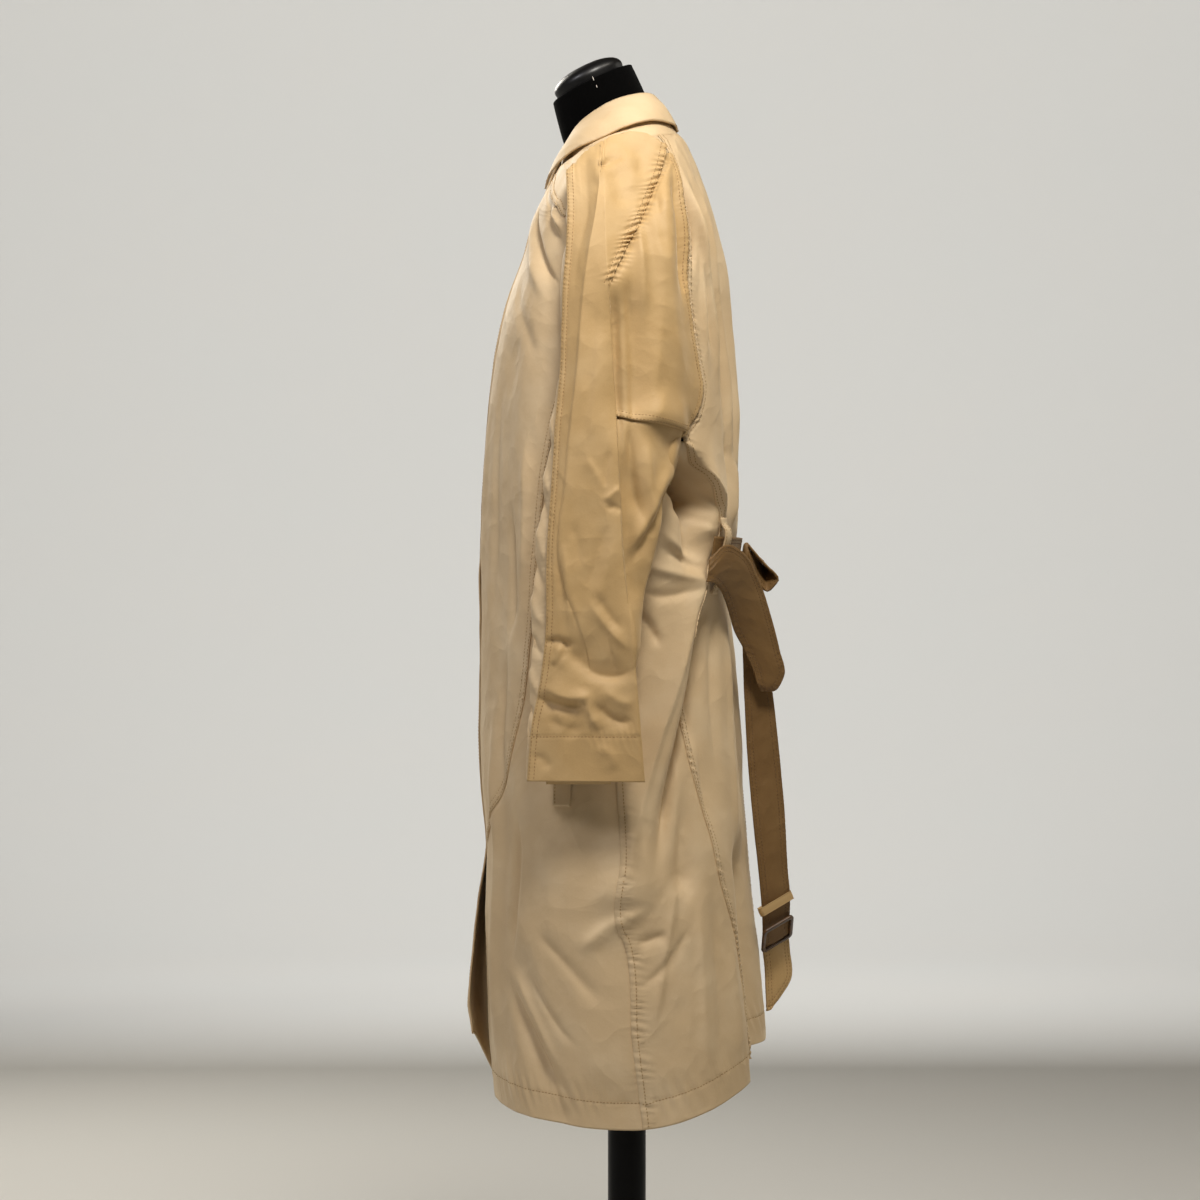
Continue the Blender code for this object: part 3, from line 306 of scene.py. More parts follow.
# ---- Body of the coat: two fronts, two side fronts, two side backs and two backs of gabardine ----
# Each panel is cut single, its raw edge turned under at the seam and stitched down, so one panel laps
# its neighbour by a finger's width. The cloth is fine, crisp cotton that holds every crease.
BODY = (
    # height front_rise back_rise front back half_width square: rings of the worn coat
    (0.358, 0.018, 0.055, -0.142, 0.149, 0.208, 0.70),
    (0.450, 0.008, 0.025, -0.150, 0.146, 0.206, 0.70),
    (0.550, 0.000, 0.008, -0.153, 0.1375, 0.202, 0.72),
    (0.640, 0.000, 0.000, -0.152, 0.130, 0.197, 0.74),
    (0.710, 0.000, 0.000, -0.158, 0.124, 0.193, 0.76),
    (0.800, 0.000, 0.000, -0.159, 0.117, 0.190, 0.78),
    (0.875, 0.000, 0.000, -0.159, 0.112, 0.188, 0.80),
    (0.925, 0.000, 0.000, -0.159, 0.111, 0.186, 0.80),
    (0.980, 0.000, 0.000, -0.157, 0.119, 0.187, 0.76),
    (1.050, 0.000, 0.000, -0.1535, 0.1185, 0.189, 0.72),
    (1.140, 0.000, 0.000, -0.1456, 0.1125, 0.189, 0.68),
    (1.220, 0.000, 0.000, -0.129, 0.106, 0.188, 0.66),
    (1.270, 0.000, 0.000, -0.111, 0.1005, 0.187, 0.66),
    (1.320, 0.000, 0.000, -0.097, 0.090, 0.184, 0.68),
    (1.348, -0.004, 0.000, -0.0835, 0.081, 0.176, 0.72),
    (1.371, -0.014, 0.004, -0.0765, 0.071, 0.156, 0.76),
    (1.385, -0.022, 0.010, -0.0735, 0.062, 0.118, 0.82),
    (1.392, -0.025, 0.012, -0.0715, 0.055, 0.080, 0.86),
)
FRONT_SIDE = (
    # height angle_from_front_centre: the curved front seam, then the armhole's front and the yoke seam
    (0.358, 10.0), (0.550, 10.0), (0.609, 10.5), (0.640, 14.0), (0.664, 22.0), (0.690, 33.0),
    (0.715, 41.0), (0.757, 50.0), (0.778, 53.5),
    (0.861, 60.0), (0.950, 64.0), (1.050, 69.0), (1.100, 74.0), (1.138, 80.0), (1.170, 77.5),
    (1.200, 73.5), (1.250, 67.5), (1.295, 62.5), (1.306, 50.0), (1.322, 36.0), (1.345, 22.0),
    (1.370, 19.0), (1.392, 17.0),
)
SIDE_SEAM = (
    # height angle
    (0.358, 91.5), (0.450, 90.5), (0.540, 90.5), (0.576, 89.4), (0.620, 90.0), (0.900, 91.0), (1.066, 92.0),
)
BACK_SIDE = (
    # height angle: the curved back seam, then the armhole's back
    (0.358, 146.0), (0.450, 143.0), (0.550, 139.5), (0.609, 132.0), (0.672, 128.0), (0.757, 123.0),
    (0.830, 123.5), (0.875, 126.0), (0.925, 136.5), (0.978, 143.0), (1.006, 139.0), (1.030, 131.0),
    (1.047, 123.0), (1.073, 115.7), (1.097, 124.0), (1.120, 128.0), (1.151, 125.0), (1.193, 120.7),
    (1.232, 118.5), (1.286, 121.0), (1.317, 121.4), (1.348, 122.2), (1.367, 120.8), (1.392, 122.0),
)
BODY_DRAPE = (
    # angle_top top angle_low low half_width rise: the largest soft folds, each about a straight line
    (131.0, 0.915, 92.0, 0.600, 0.020, 0.010),
    (137.0, 0.880, 112.0, 0.620, 0.020, -0.010),
    (74.0, 0.760, 86.0, 0.430, 0.034, 0.007),
    (40.0, 1.150, 34.0, 0.430, 0.030, -0.006),
    (152.0, 1.340, 152.0, 1.060, 0.014, -0.005),
    (156.0, 0.620, 157.0, 0.300, 0.026, -0.020),
    (122.0, 1.030, 128.0, 0.960, 0.024, -0.020),
    (50.0, 0.520, 66.0, 0.370, 0.024, -0.008),
)
BODY_CREASES = (
    # rise left right crisp line: left and right are the widths beside the line as it runs through its
    # (angle, height) points; a line that runs down has the back of the coat on its left
    # the cloth hung from the back armhole over the hollow behind the sleeve
    (0.0100, 0.016, 0.005, 0.5, ((113, 1.072), (124, 1.052), (133, 1.031), (142, 1.006), (149, 0.984))),
    (-0.0120, 0.003, 0.006, 0.4, ((111, 1.060), (122, 1.040), (133, 1.019), (143, 0.993))),
    (-0.0560, 0.0075, 0.024, 0.2, ((106, 1.048), (118, 1.031), (129, 1.011), (140, 0.990))),
    (0.0026, 0.004, 0.007, 0.4, ((103, 1.010), (116, 1.007), (128, 1.000), (140, 0.982))),
    (-0.0024, 0.005, 0.004, 0.4, ((106, 0.999), (119, 0.995), (131, 0.990), (141, 0.976))),
    (0.0028, 0.004, 0.007, 0.4, ((112, 0.988), (118, 0.987), (131, 0.981), (142, 0.970))),
    # pulled towards the belt's way out of the carrier
    (0.0030, 0.006, 0.005, 0.3, ((104, 0.980), (112, 0.965), (126, 0.948), (139, 0.938))),
    (-0.0034, 0.006, 0.005, 0.4, ((104, 0.962), (114, 0.950), (128, 0.938), (138, 0.932))),
    (0.0045, 0.008, 0.006, 0.3, ((95, 0.940), (108, 0.934), (124, 0.927), (138, 0.925))),
    (-0.0036, 0.006, 0.006, 0.4, ((97, 0.914), (110, 0.906), (124, 0.910), (136, 0.918))),
    (-0.0050, 0.006, 0.009, 0.3, ((96, 0.892), (101, 0.885), (107, 0.868), (109, 0.850))),
    # the long drape from the belt down to the side seam, and the hollows behind it
    (0.0070, 0.0050, 0.022, 0.6, ((133, 0.922), (126.5, 0.892), (121.8, 0.861), (114.8, 0.819),
                                  (108, 0.778), (99.8, 0.717), (93.5, 0.656), (89.8, 0.589), (86.5, 0.548))),
    (-0.0140, 0.030, 0.014, 0.2, ((141, 0.925), (139, 0.870), (136, 0.800), (132, 0.720), (128, 0.640))),
    (-0.0260, 0.016, 0.010, 0.3, ((137, 0.905), (131, 0.870), (125, 0.820), (117, 0.765), (108, 0.705),
                                  (101, 0.650), (97, 0.600))),
    (-0.0080, 0.008, 0.005, 0.4, ((131, 0.905), (129.5, 0.868), (129, 0.820), (128, 0.757), (128, 0.720))),
    (0.0040, 0.012, 0.008, 0.2, ((140, 0.900), (138, 0.840), (134, 0.760), (133, 0.690))),
    (-0.0030, 0.012, 0.012, 0.1, ((118, 0.700), (114, 0.640), (112, 0.580))),
    # the knot of cloth at the top of the side seam, and the pressed crease behind it
    (0.0052, 0.006, 0.009, 0.4, ((80, 0.538), (88, 0.566), (92, 0.577), (97, 0.586))),
    (-0.0034, 0.005, 0.006, 0.4, ((92, 0.548), (97, 0.553), (103, 0.558))),
    (0.0038, 0.0030, 0.012, 0.8, ((109, 0.620), (102.5, 0.546), (97, 0.480), (93.5, 0.440))),
    (-0.0030, 0.006, 0.004, 0.5, ((113, 0.566), (104, 0.535), (96, 0.512), (90, 0.500))),
    (0.0030, 0.010, 0.008, 0.2, ((118, 0.600), (117, 0.520), (115, 0.440), (116, 0.390))),
    (-0.0040, 0.012, 0.010, 0.1, ((127, 0.620), (126, 0.520), (124, 0.420), (125, 0.370))),
    (0.0035, 0.012, 0.010, 0.1, ((136, 0.560), (135, 0.470), (137, 0.390))),
    # soft folds and drag lines of the front and the side front
    (0.0050, 0.014, 0.010, 0.1, ((34, 0.830), (30, 0.720), (27, 0.600), (24, 0.450), (24, 0.380))),
    (-0.0070, 0.010, 0.008, 0.3, ((50, 0.690), (47, 0.640), (44, 0.580), (41, 0.520))),
    (-0.0070, 0.005, 0.014, 0.5, ((36, 0.520), (42, 0.493), (51, 0.461), (61, 0.421), (72, 0.388))),
    (0.0045, 0.008, 0.005, 0.4, ((42, 0.520), (52, 0.485), (62, 0.447), (70, 0.410))),
    (-0.0035, 0.007, 0.006, 0.4, ((60, 0.560), (72, 0.535), (82, 0.505), (88, 0.478))),
    (-0.0035, 0.006, 0.006, 0.5, ((52, 0.520), (62, 0.488), (71, 0.459), (80, 0.438))),
    (0.0030, 0.014, 0.012, 0.1, ((66, 0.680), (68, 0.600), (70, 0.520))),
    (-0.0035, 0.009, 0.007, 0.3, ((44, 0.860), (39, 0.800), (37, 0.740), (39, 0.700))),
    (-0.0050, 0.008, 0.010, 0.3, ((44, 1.010), (48, 0.950), (49, 0.900), (43, 0.850))),
    (0.0050, 0.012, 0.010, 0.2, ((56, 1.080), (57, 0.980), (56, 0.900))),
    (-0.0030, 0.010, 0.010, 0.1, ((32, 1.160), (30, 1.060), (31, 0.960), (28, 0.860))),
    (0.0032, 0.010, 0.012, 0.1, ((20, 1.140), (17, 1.000), (18, 0.880))),
    (-0.0032, 0.012, 0.009, 0.1, ((11, 1.080), (9, 0.900), (12, 0.740))),
    (-0.0030, 0.010, 0.010, 0.1, ((16, 0.620), (13, 0.500), (15, 0.400))),
    # folds of the chest below the yoke
    (-0.0090, 0.0024, 0.011, 0.7, ((17, 1.345), (24, 1.318), (31, 1.293), (42, 1.272), (56, 1.247),
                                      (72, 1.222))),
    (0.0050, 0.014, 0.008, 0.2, ((14, 1.322), (24, 1.288), (35, 1.262), (50, 1.236), (64, 1.210))),
    (-0.0040, 0.005, 0.008, 0.4, ((38, 1.318), (48, 1.297), (58, 1.278), (68, 1.262))),
    (0.0040, 0.006, 0.005, 0.3, ((44, 1.312), (54, 1.296), (63, 1.284))),
    (-0.0030, 0.010, 0.012, 0.2, ((26, 1.250), (36, 1.215), (50, 1.180), (64, 1.150))),
    # the back's fold along the armhole, its long folds below the collar, and the tucked line with its bar
    (-0.0100, 0.0045, 0.0035, 0.4, ((122, 1.366), (124.5, 1.320), (125.5, 1.280), (123, 1.235))),
    (0.0060, 0.0080, 0.0050, 0.3, ((128, 1.360), (130.5, 1.310), (131.5, 1.265), (131, 1.200), (134, 1.130))),
    (-0.0044, 0.0030, 0.0060, 0.7, ((128, 1.300), (133, 1.235), (137, 1.175), (140, 1.148))),
    (0.0051, 0.007, 0.006, 0.2, ((126, 1.350), (133, 1.270), (140, 1.190), (145, 1.110))),
    (-0.0059, 0.008, 0.006, 0.3, ((134, 1.360), (141, 1.270), (147, 1.180), (150, 1.080))),
    (0.0068, 0.010, 0.007, 0.2, ((143, 1.365), (149, 1.260), (155, 1.150), (156, 1.030))),
    (-0.0076, 0.010, 0.008, 0.2, ((158, 1.350), (162, 1.230), (164, 1.100), (160, 0.990))),
    (0.0059, 0.012, 0.010, 0.1, ((168, 1.330), (171, 1.180), (168, 1.020))),
    (-0.0068, 0.007, 0.007, 0.3, ((150, 1.080), (152, 1.030), (149, 0.985))),
    (0.0059, 0.006, 0.007, 0.3, ((160, 1.060), (158, 1.020), (156, 0.975))),
    (-0.0035, 0.006, 0.006, 0.3, ((168, 1.050), (167, 1.010), (168, 0.975))),
    (-0.0040, 0.008, 0.007, 0.3, ((148, 0.915), (147, 0.860), (143, 0.790), (141, 0.700))),
    (0.0040, 0.009, 0.008, 0.2, ((156, 0.915), (157, 0.830), (153, 0.730), (151, 0.620))),
    (-0.0045, 0.010, 0.009, 0.2, ((166, 0.910), (168, 0.800), (166, 0.690), (168, 0.560))),
    (0.0035, 0.011, 0.010, 0.1, ((175, 0.900), (174, 0.790), (176, 0.690))),
    (-0.0035, 0.010, 0.010, 0.1, ((148, 0.560), (149, 0.480), (147, 0.400))),
)
RISE_POWER = 1.3            # how closely the rise of a ring keeps to the middle of the front or back
ARC = 0.0031                # metres round the body for each degree
CLOTH = 0.0011              # one layer
LAYER_GAP = 0.0016          # between the two fronts, and between the two vents
FRONT_EDGE, VENT_EDGE = 5.0, 6.0    # degrees that the left front and right vent run past the middle
VENT_TOP = 0.620
HEM_RISE, DRAWN_FROM = 0.022, 0.450     # how far the backs' hems are drawn up, and from what height
HIP, FRONT_SWING, FRONT_RISE = 0.640, 0.024, 0.062  # the right front's hem swings out and up from here
COAT_SAND, COAT_SHADE, COAT_LIGHT = "#CFB691", "#C4AA83", "#D9C4A2"
TWILL = 0.0008              # metres from one twill line to the next, drawn coarser than it is woven
CRUSH = 0.050               # metres between the sharp little creases that handling leaves
LAP_WIDTH, LAP_RISE = 0.0075, 0.0007        # turned-under allowance at a lapped seam
UNDER_WIDTH, UNDER_DROP = 0.0095, 0.0011    # the edge that runs on below the lap
GROOVE_WIDTH, GROOVE_DEPTH = 0.0012, 0.0005     # what a row of stitches presses into the cloth
WALL_SPARE = 0.0007         # added to every wall's thickness
UNDERLAP = 2.2              # degrees that a panel runs on under the panel that laps it
BODY_CELLS = {"left": 0.90, "right": 1.65}      # grid cell scale of each half
HEM_LEVEL, ARMPIT, NECKLINE = 0.358, 1.066, 1.391
LAP_ROWS = (0.0016, 0.0066)     # the two stitch rows of a lapped seam


def run_along(points):
    """Length along a line of points, from 0 at the first."""
    return np.concatenate(([0.0], np.cumsum(np.linalg.norm(np.diff(points, axis=0), axis=1))))


def run_across(grid):
    """Length along each row of a grid, from 0 at the row's first point."""
    steps = np.linalg.norm(np.diff(grid, axis=1), axis=2)
    return np.concatenate((np.zeros((len(grid), 1)), np.cumsum(steps, axis=1)), axis=1)


def sampled(at, knots, points):
    """Points at the given places along a line whose points lie at the knots, straight in between."""
    return np.stack([np.interp(at, knots, points[:, axis]) for axis in range(3)], axis=1)


def resample(points, count):
    """Points at even steps of length along a smooth curve through the given ones."""
    points = np.array(points, dtype=float)
    length = run_along(points)
    at = np.linspace(0.0, length[-1], count)
    return np.stack([smooth(at, length, points[:, axis]) for axis in range(points.shape[1])], axis=1)


def eased(x):
    """Smooth step from 0 to 1."""
    x = np.clip(x, 0.0, 1.0)
    return x * x * (3 - 2 * x)


def near_line(u, v, line):
    """For every (u, v): distance to the line, which side it is on (left is +), and share run along it."""
    gap, side, run = np.full(u.shape, 1e9), np.zeros(u.shape), np.zeros(u.shape)
    done = 0.0
    for start, end in zip(line[:-1], line[1:]):
        du, dv = end - start
        step = np.hypot(du, dv)
        share = np.clip(((u - start[0]) * du + (v - start[1]) * dv) / step ** 2, 0.0, 1.0)
        gu, gv = u - start[0] - share * du, v - start[1] - share * dv
        here = np.hypot(gu, gv)
        closer = here < gap
        gap = np.where(closer, here, gap)
        side = np.where(closer, np.sign(du * gv - dv * gu), side)
        run = np.where(closer, done + share * step, run)
        done += step
    return gap, side, run / done


def creased(u, v, creases, vary=0.0, seed=0):
    """Lift of listed creases over a flat map of the cloth.

    A crease's lift is rise * exp(-(d / w) ** (2 - crisp)) times a fade at both ends, with d the distance
    to its line and w its width on that side. vary moves and scales each, for the coat's other half.
    """
    u, v = np.broadcast_arrays(np.asarray(u, float), np.asarray(v, float))
    total = np.zeros(u.shape)
    chance = np.random.default_rng(seed)
    for rise, left, right, crisp, points in creases:
        shift, scale = chance.normal(0.0, 1.0, 2) * vary, 1.0 + 30.0 * vary * chance.uniform(-1, 1)
        line = resample(np.array(points) + shift, 5 * len(points))
        reach = 2.8 * max(left, right)
        low, high = line.min(axis=0) - reach, line.max(axis=0) + reach
        inside = (u > low[0]) & (u < high[0]) & (v > low[1]) & (v < high[1])
        if not inside.any():
            continue
        gap, side, run = near_line(u[inside], v[inside], line)
        fade = eased(3.2 * np.minimum(run, 1.0 - run))
        total[inside] += rise * scale * fade * np.exp(-(gap / np.where(side > 0, left, right)) ** (2 - crisp))
    return total


def uneven(u, v, wide, tall, seed):
    """Soft unevenness from -1 to 1: random values on a lattice, eased from one to the next."""
    lattice = np.random.default_rng(seed).uniform(-1, 1, (64, 64))
    gu, gv = u / wide + 32.0, v / tall + 32.0
    i, j = np.floor(gu).astype(int), np.floor(gv).astype(int)
    fu, fv = gu - i, gv - j
    fu, fv = fu * fu * (3 - 2 * fu), fv * fv * (3 - 2 * fv)
    low = lattice[i % 64, j % 64] * (1 - fu) + lattice[(i + 1) % 64, j % 64] * fu
    high = lattice[i % 64, (j + 1) % 64] * (1 - fu) + lattice[(i + 1) % 64, (j + 1) % 64] * fu
    return low * (1 - fv) + high * fv


def rumpled(u, v, seed, rise=0.0006):
    """Handling marks all over: long shallow waves with shorter ones across them."""
    return rise * (1.3 * uneven(u, v, 0.034, 0.085, seed)
                   + 0.7 * uneven(u + 0.4 * v, v, 0.017, 0.040, seed + 1)
                   + 0.35 * uneven(u - 0.3 * v, v, 0.011, 0.019, seed + 2))


def surface_normals(grid):
    """Unit normal at each grid point, from the directions along its row and its column."""
    normal = np.cross(np.gradient(grid, axis=1), np.gradient(grid, axis=0))
    return normal / np.maximum(np.linalg.norm(normal, axis=2, keepdims=True), 1e-12)


def facing(grid, edge):
    """The grid, or any array on it, turned so that the edge is its first column. It is its own inverse."""
    if edge == "first":
        return grid
    if edge == "last":
        return grid[:, ::-1]
    if edge == "low":
        return grid.swapaxes(0, 1)
    return grid[::-1, ::-1].swapaxes(0, 1)


def edge_gap(grid, edge):
    """Each grid point's distance from an edge, square to it, and how far along that edge it lies."""
    grid = facing(grid, edge)
    gap = run_across(grid)
    tangent, across = np.gradient(grid[:, 0], axis=0), grid[:, 3] - grid[:, 0]
    lean = np.linalg.norm(np.cross(tangent, across), axis=1)
    lean /= np.linalg.norm(tangent, axis=1) * np.linalg.norm(across, axis=1) + 1e-12
    gap *= np.clip(lean, 0.35, 1.0)[:, None]
    along = run_along(grid[:, 0])
    return facing(gap, edge), facing(np.repeat(along[:, None], grid.shape[1], axis=1), edge)


def edge_row(edge, kind="plain", at=(), pucker=0.0, pitch=0.01, reach=0.01, low=-9.0, high=9.0):
    """How an edge is sewn: stitch rows at metres inside it, and puckers, between two heights."""
    return edge, kind, at, pucker, pitch, reach, low, high


def seam_lift(grid, edge, kind, at, pucker, pitch, reach, low, high, seed):
    """Lift near one edge: a lap or an underlap, a groove under each stitch row, and puckers.

    Puckers are pucker * cos(2 pi along / pitch), jittered, fading with distance from the stitch row.
    Only the part of the edge between the heights low and high is sewn so.
    """
    gap, along = edge_gap(grid, edge)
    lift = np.zeros(gap.shape)
    if kind == "lap":
        lift += LAP_RISE * eased((LAP_WIDTH - gap) / 0.003)
    if kind == "under":
        lift -= UNDER_DROP * eased((UNDER_WIDTH - gap) / 0.004)
    for row in at:
        lift -= GROOVE_DEPTH * np.exp(-((gap - row) / GROOVE_WIDTH) ** 2)
    if pucker:
        phase = along / pitch + 0.8 * uneven(along, 0 * along, 2.4 * pitch, 1.0, seed)
        size = 0.6 + 0.6 * uneven(along, 0 * along + 0.5, 1.7 * pitch, 1.0, seed + 3)
        lean = 0.35 * (gap / reach)
        from_row = gap - at[0] if at else gap
        lift += pucker * size * np.cos(2 * np.pi * (phase + lean)) * np.exp(-(from_row / reach) ** 2)
    return lift * eased((grid[..., 2] - low) / 0.008) * eased((high - grid[..., 2]) / 0.008)


def stitches(grid, edge, at, bottom, top, length=0.0027, pitch=0.0037, thick=0.00042, trim=0.004):
    """Verts and faces of one row of stitches, at metres inside an edge: small rounded grains of thread.

    Each is two square rings and two tips, long axis along the row, sunk by half into the cloth.
    """
    normal = facing(surface_normals(grid), edge)
    gap = facing(edge_gap(grid, edge)[0], edge)
    grid = facing(grid, edge)
    column = np.array([np.interp(at, row, np.arange(len(row))) for row in gap])
    low = np.clip(np.floor(column).astype(int), 0, grid.shape[1] - 2)
    part = (column - low)[:, None]
    rows = np.arange(len(grid))
    line = grid[rows, low] * (1 - part) + grid[rows, low + 1] * part
    out = normal[rows, low] * (1 - part) + normal[rows, low + 1] * part
    run = run_along(line)
    middle = np.arange(trim, max(run[-1] - trim, trim), pitch)
    height = sampled(middle, run, line)[:, 2]
    middle = middle[(height > bottom) & (height < top)]
    if run[-1] < 2 * trim + 2 * pitch or not len(middle):
        return np.zeros((0, 3)), np.zeros((0, 3), int)
    centre, up = sampled(middle, run, line), sampled(middle, run, out)
    along = sampled(middle + 0.001, run, line) - sampled(middle - 0.001, run, line)
    along /= np.linalg.norm(along, axis=1, keepdims=True)
    up -= along * np.sum(up * along, axis=1, keepdims=True)
    up /= np.linalg.norm(up, axis=1, keepdims=True)
    side = np.cross(up, along)
    ring = np.array(((0.0, 1.0), (1.0, 0.25), (0.6, -0.8), (-0.6, -0.8), (-1.0, 0.25))) * thick
    body = [(share * length, x, y) for share in (-0.28, 0.28) for x, y in ring]
    shape = np.array([(-0.5 * length, 0.0, -0.2 * thick)] + body + [(0.5 * length, 0.0, -0.2 * thick)])
    verts = (centre[:, None] + shape[None, :, :1] * along[:, None] + shape[None, :, 1:2] * side[:, None]
             + shape[None, :, 2:] * up[:, None])
    faces = []
    for k in range(5):
        m = (k + 1) % 5
        faces += [(0, 1 + m, 1 + k), (1 + k, 1 + m, 6 + m), (1 + k, 6 + m, 6 + k), (6 + k, 6 + m, 11)]
    faces = (np.array(faces)[None] + 12 * np.arange(len(centre))[:, None, None]).reshape(-1, 3)
    return verts.reshape(-1, 3), faces


def wall(name, outer, inner, uv, material, stands_for):
    """A closed cloth wall: the fine outer grid, every second point of the inner grid, and a rim.

    Both grids have odd counts, so each inner edge spans two outer ones and the rim's faces have five
    corners. Rows go up and columns go to the wearer's left, which turns the outer grid outwards.
    """
    rows, cols = outer.shape[:2]
    index = np.arange(rows * cols).reshape(rows, cols)
    deep = np.arange((rows // 2 + 1) * (cols // 2 + 1)).reshape(rows // 2 + 1, cols // 2 + 1) + rows * cols
    def quads(i):
        return np.stack((i[:-1, :-1], i[:-1, 1:], i[1:, 1:], i[1:, :-1]), axis=-1).reshape(-1, 4)
    def border(i):
        return np.concatenate((i[0, :-1], i[:-1, -1], i[-1, :0:-1], i[:0:-1, 0]))
    outside, inside = border(index), border(deep)
    rim = np.stack((np.roll(outside, -2)[::2], np.roll(outside, -1)[::2], outside[::2], inside,
                    np.roll(inside, -1)), axis=1)
    verts = np.concatenate((outer.reshape(-1, 3), inner[::2, ::2].reshape(-1, 3)))
    flat = np.concatenate((uv.reshape(-1, 2), uv[::2, ::2].reshape(-1, 2)))
    faces = quads(index).tolist() + quads(deep)[:, ::-1].tolist() + rim.tolist()
    return mesh_piece(name, verts, faces, material, stands_for, flat)


def mirrored(grid):
    """The grid on the other side, its columns turned round so that it still faces out."""
    return grid[:, ::-1] * np.array((-1.0, 1.0, 1.0))


def sewn(name, base, lift, edges, material, stands_for, side="left", seed=0, thick=CLOTH,
         thread=None, normals=None):
    """A finished panel: base surface, its creases and seam relief, its thickness, stitches and cut.

    edges are edge_row tuples. The cut maps each point to its run along its row, from the row's middle, and
    along its column.
    """
    normal = surface_normals(base) if normals is None else normals
    relief = np.zeros(lift.shape)
    for place, row in enumerate(edges):
        relief += seam_lift(base, *row, seed + 7 * place)
    outer = base + normal * (lift + relief)[..., None]
    inner = base + normal * (lift + np.minimum(relief, 0.0) - thick - WALL_SPARE)[..., None]
    width, length = run_across(base), run_across(base.swapaxes(0, 1)).T
    uv = np.stack((width - width[:, -1:] / 2, length), axis=-1)
    if side == "right":
        outer, inner, uv = mirrored(outer), mirrored(inner), uv[:, ::-1]
    piece = wall(name, outer, inner, uv, material, stands_for)
    swap = {"first": "last", "last": "first"} if side == "right" else {}
    rows = [stitches(outer, swap.get(edge, edge), row, low, high)
            for edge, _, at, _, _, _, low, high in edges for row in at]
    rows = [(verts, faces) for verts, faces in rows if len(faces)]
    thread_piece = []
    if rows:
        counts = np.cumsum([0] + [len(verts) for verts, _ in rows])
        verts = np.concatenate([verts for verts, _ in rows])
        faces = np.concatenate([faces + count for (_, faces), count in zip(rows, counts)])
        thread_piece = [mesh_piece(name + "_stitching", verts, faces.tolist(), thread or sand_thread)]
    return outer


def gabardine(name, sand, shade, light, roughness=0.62, sheen=0.25):
    """Cotton gabardine: steep fine twill, yarns of uneven tone and a dry, faintly silky face."""
    material, tree, shader = new_material(name, Roughness=roughness, Sheen_Weight=sheen,
                                          Sheen_Roughness=0.35, Sheen_Tint=linear("#F4E3C4"),
                                          Specular_IOR_Level=0.35, IOR=1.5)
    flat = node(tree, "ShaderNodeUVMap", uv_map="cut").outputs["UV"]
    parts = node(tree, "ShaderNodeSeparateXYZ", {"Vector": flat})
    yarns = node(tree, "ShaderNodeMapping", {"Vector": flat, "Scale": (1.0, 0.3, 1.0)})
    threads = noise(tree, yarns.outputs["Vector"], 0.0006, 2.0, 0.6)
    picks = node(tree, "ShaderNodeMapping", {"Vector": flat, "Scale": (0.3, 1.0, 1.0)})
    weft = noise(tree, picks.outputs["Vector"], 0.0007, 2.0, 0.6)
    cloud = noise(tree, flat, 0.09, 4.0, 0.55)
    both = reckoned(tree, "ADD", threads.outputs["Fac"], weft.outputs["Fac"])
    tone = node(tree, "ShaderNodeMapRange", {"Value": both, "From Min": 0.4, "From Max": 1.6})
    ground = dyed_between(tree, tone.outputs["Result"], shade, sand)
    patch = node(tree, "ShaderNodeMapRange", {"Value": cloud.outputs["Fac"], "From Min": 0.45,
                                              "From Max": 0.75, "To Max": 0.7})
    tree.links.new(dyed_between(tree, patch.outputs["Result"], ground, light), shader.inputs["Base Color"])
    steep = reckoned(tree, "MULTIPLY", parts.outputs["X"], 2 * np.pi / TWILL)
    climb = reckoned(tree, "MULTIPLY", parts.outputs["Y"], np.pi / TWILL)
    twill = reckoned(tree, "SINE", reckoned(tree, "SUBTRACT", steep, climb))
    crumple = noise(tree, flat, 0.011, 3.0, 0.55)
    lines = noise(tree, flat, CRUSH)
    lines.noise_type = "RIDGED_MULTIFRACTAL"
    lines.inputs["Offset"].default_value = 1.0
    weave = bumped(tree, twill, 0.10, 0.0002)
    yarn = bumped(tree, both, 0.15, 0.0001, weave)
    soft = bumped(tree, crumple.outputs["Fac"], 0.3, 0.0010, yarn)
    tree.links.new(bumped(tree, lines.outputs["Fac"], 0.5, 0.0012, soft), shader.inputs["Normal"])
    return material


sand_thread = sewing_thread("SandThread", "#9C7B4D")
coat_cloth = gabardine("SandCottonGabardine", COAT_SAND, COAT_SHADE, COAT_LIGHT)
body_columns = columns(BODY)


def ring_lift(angle, height):
    """How far the largest folds lift the cloth: rise * exp(-(d / half_width) ** 2) about each line."""
    arc = np.abs((angle + 180.0) % 360.0 - 180.0) * ARC
    total = np.zeros(np.shape(arc + height))
    for angle_top, top, angle_low, low, half_width, rise in BODY_DRAPE:
        line = np.array(((angle_top * ARC, top), (angle_low * ARC, low)))
        gap = near_line(arc + 0 * height, height + 0 * arc, line)[0]
        total += rise * np.exp(-(gap / half_width) ** 2)
    return total


def squared(value, power):
    """The value raised to a power, keeping its sign."""
    return np.sign(value) * np.abs(value) ** power


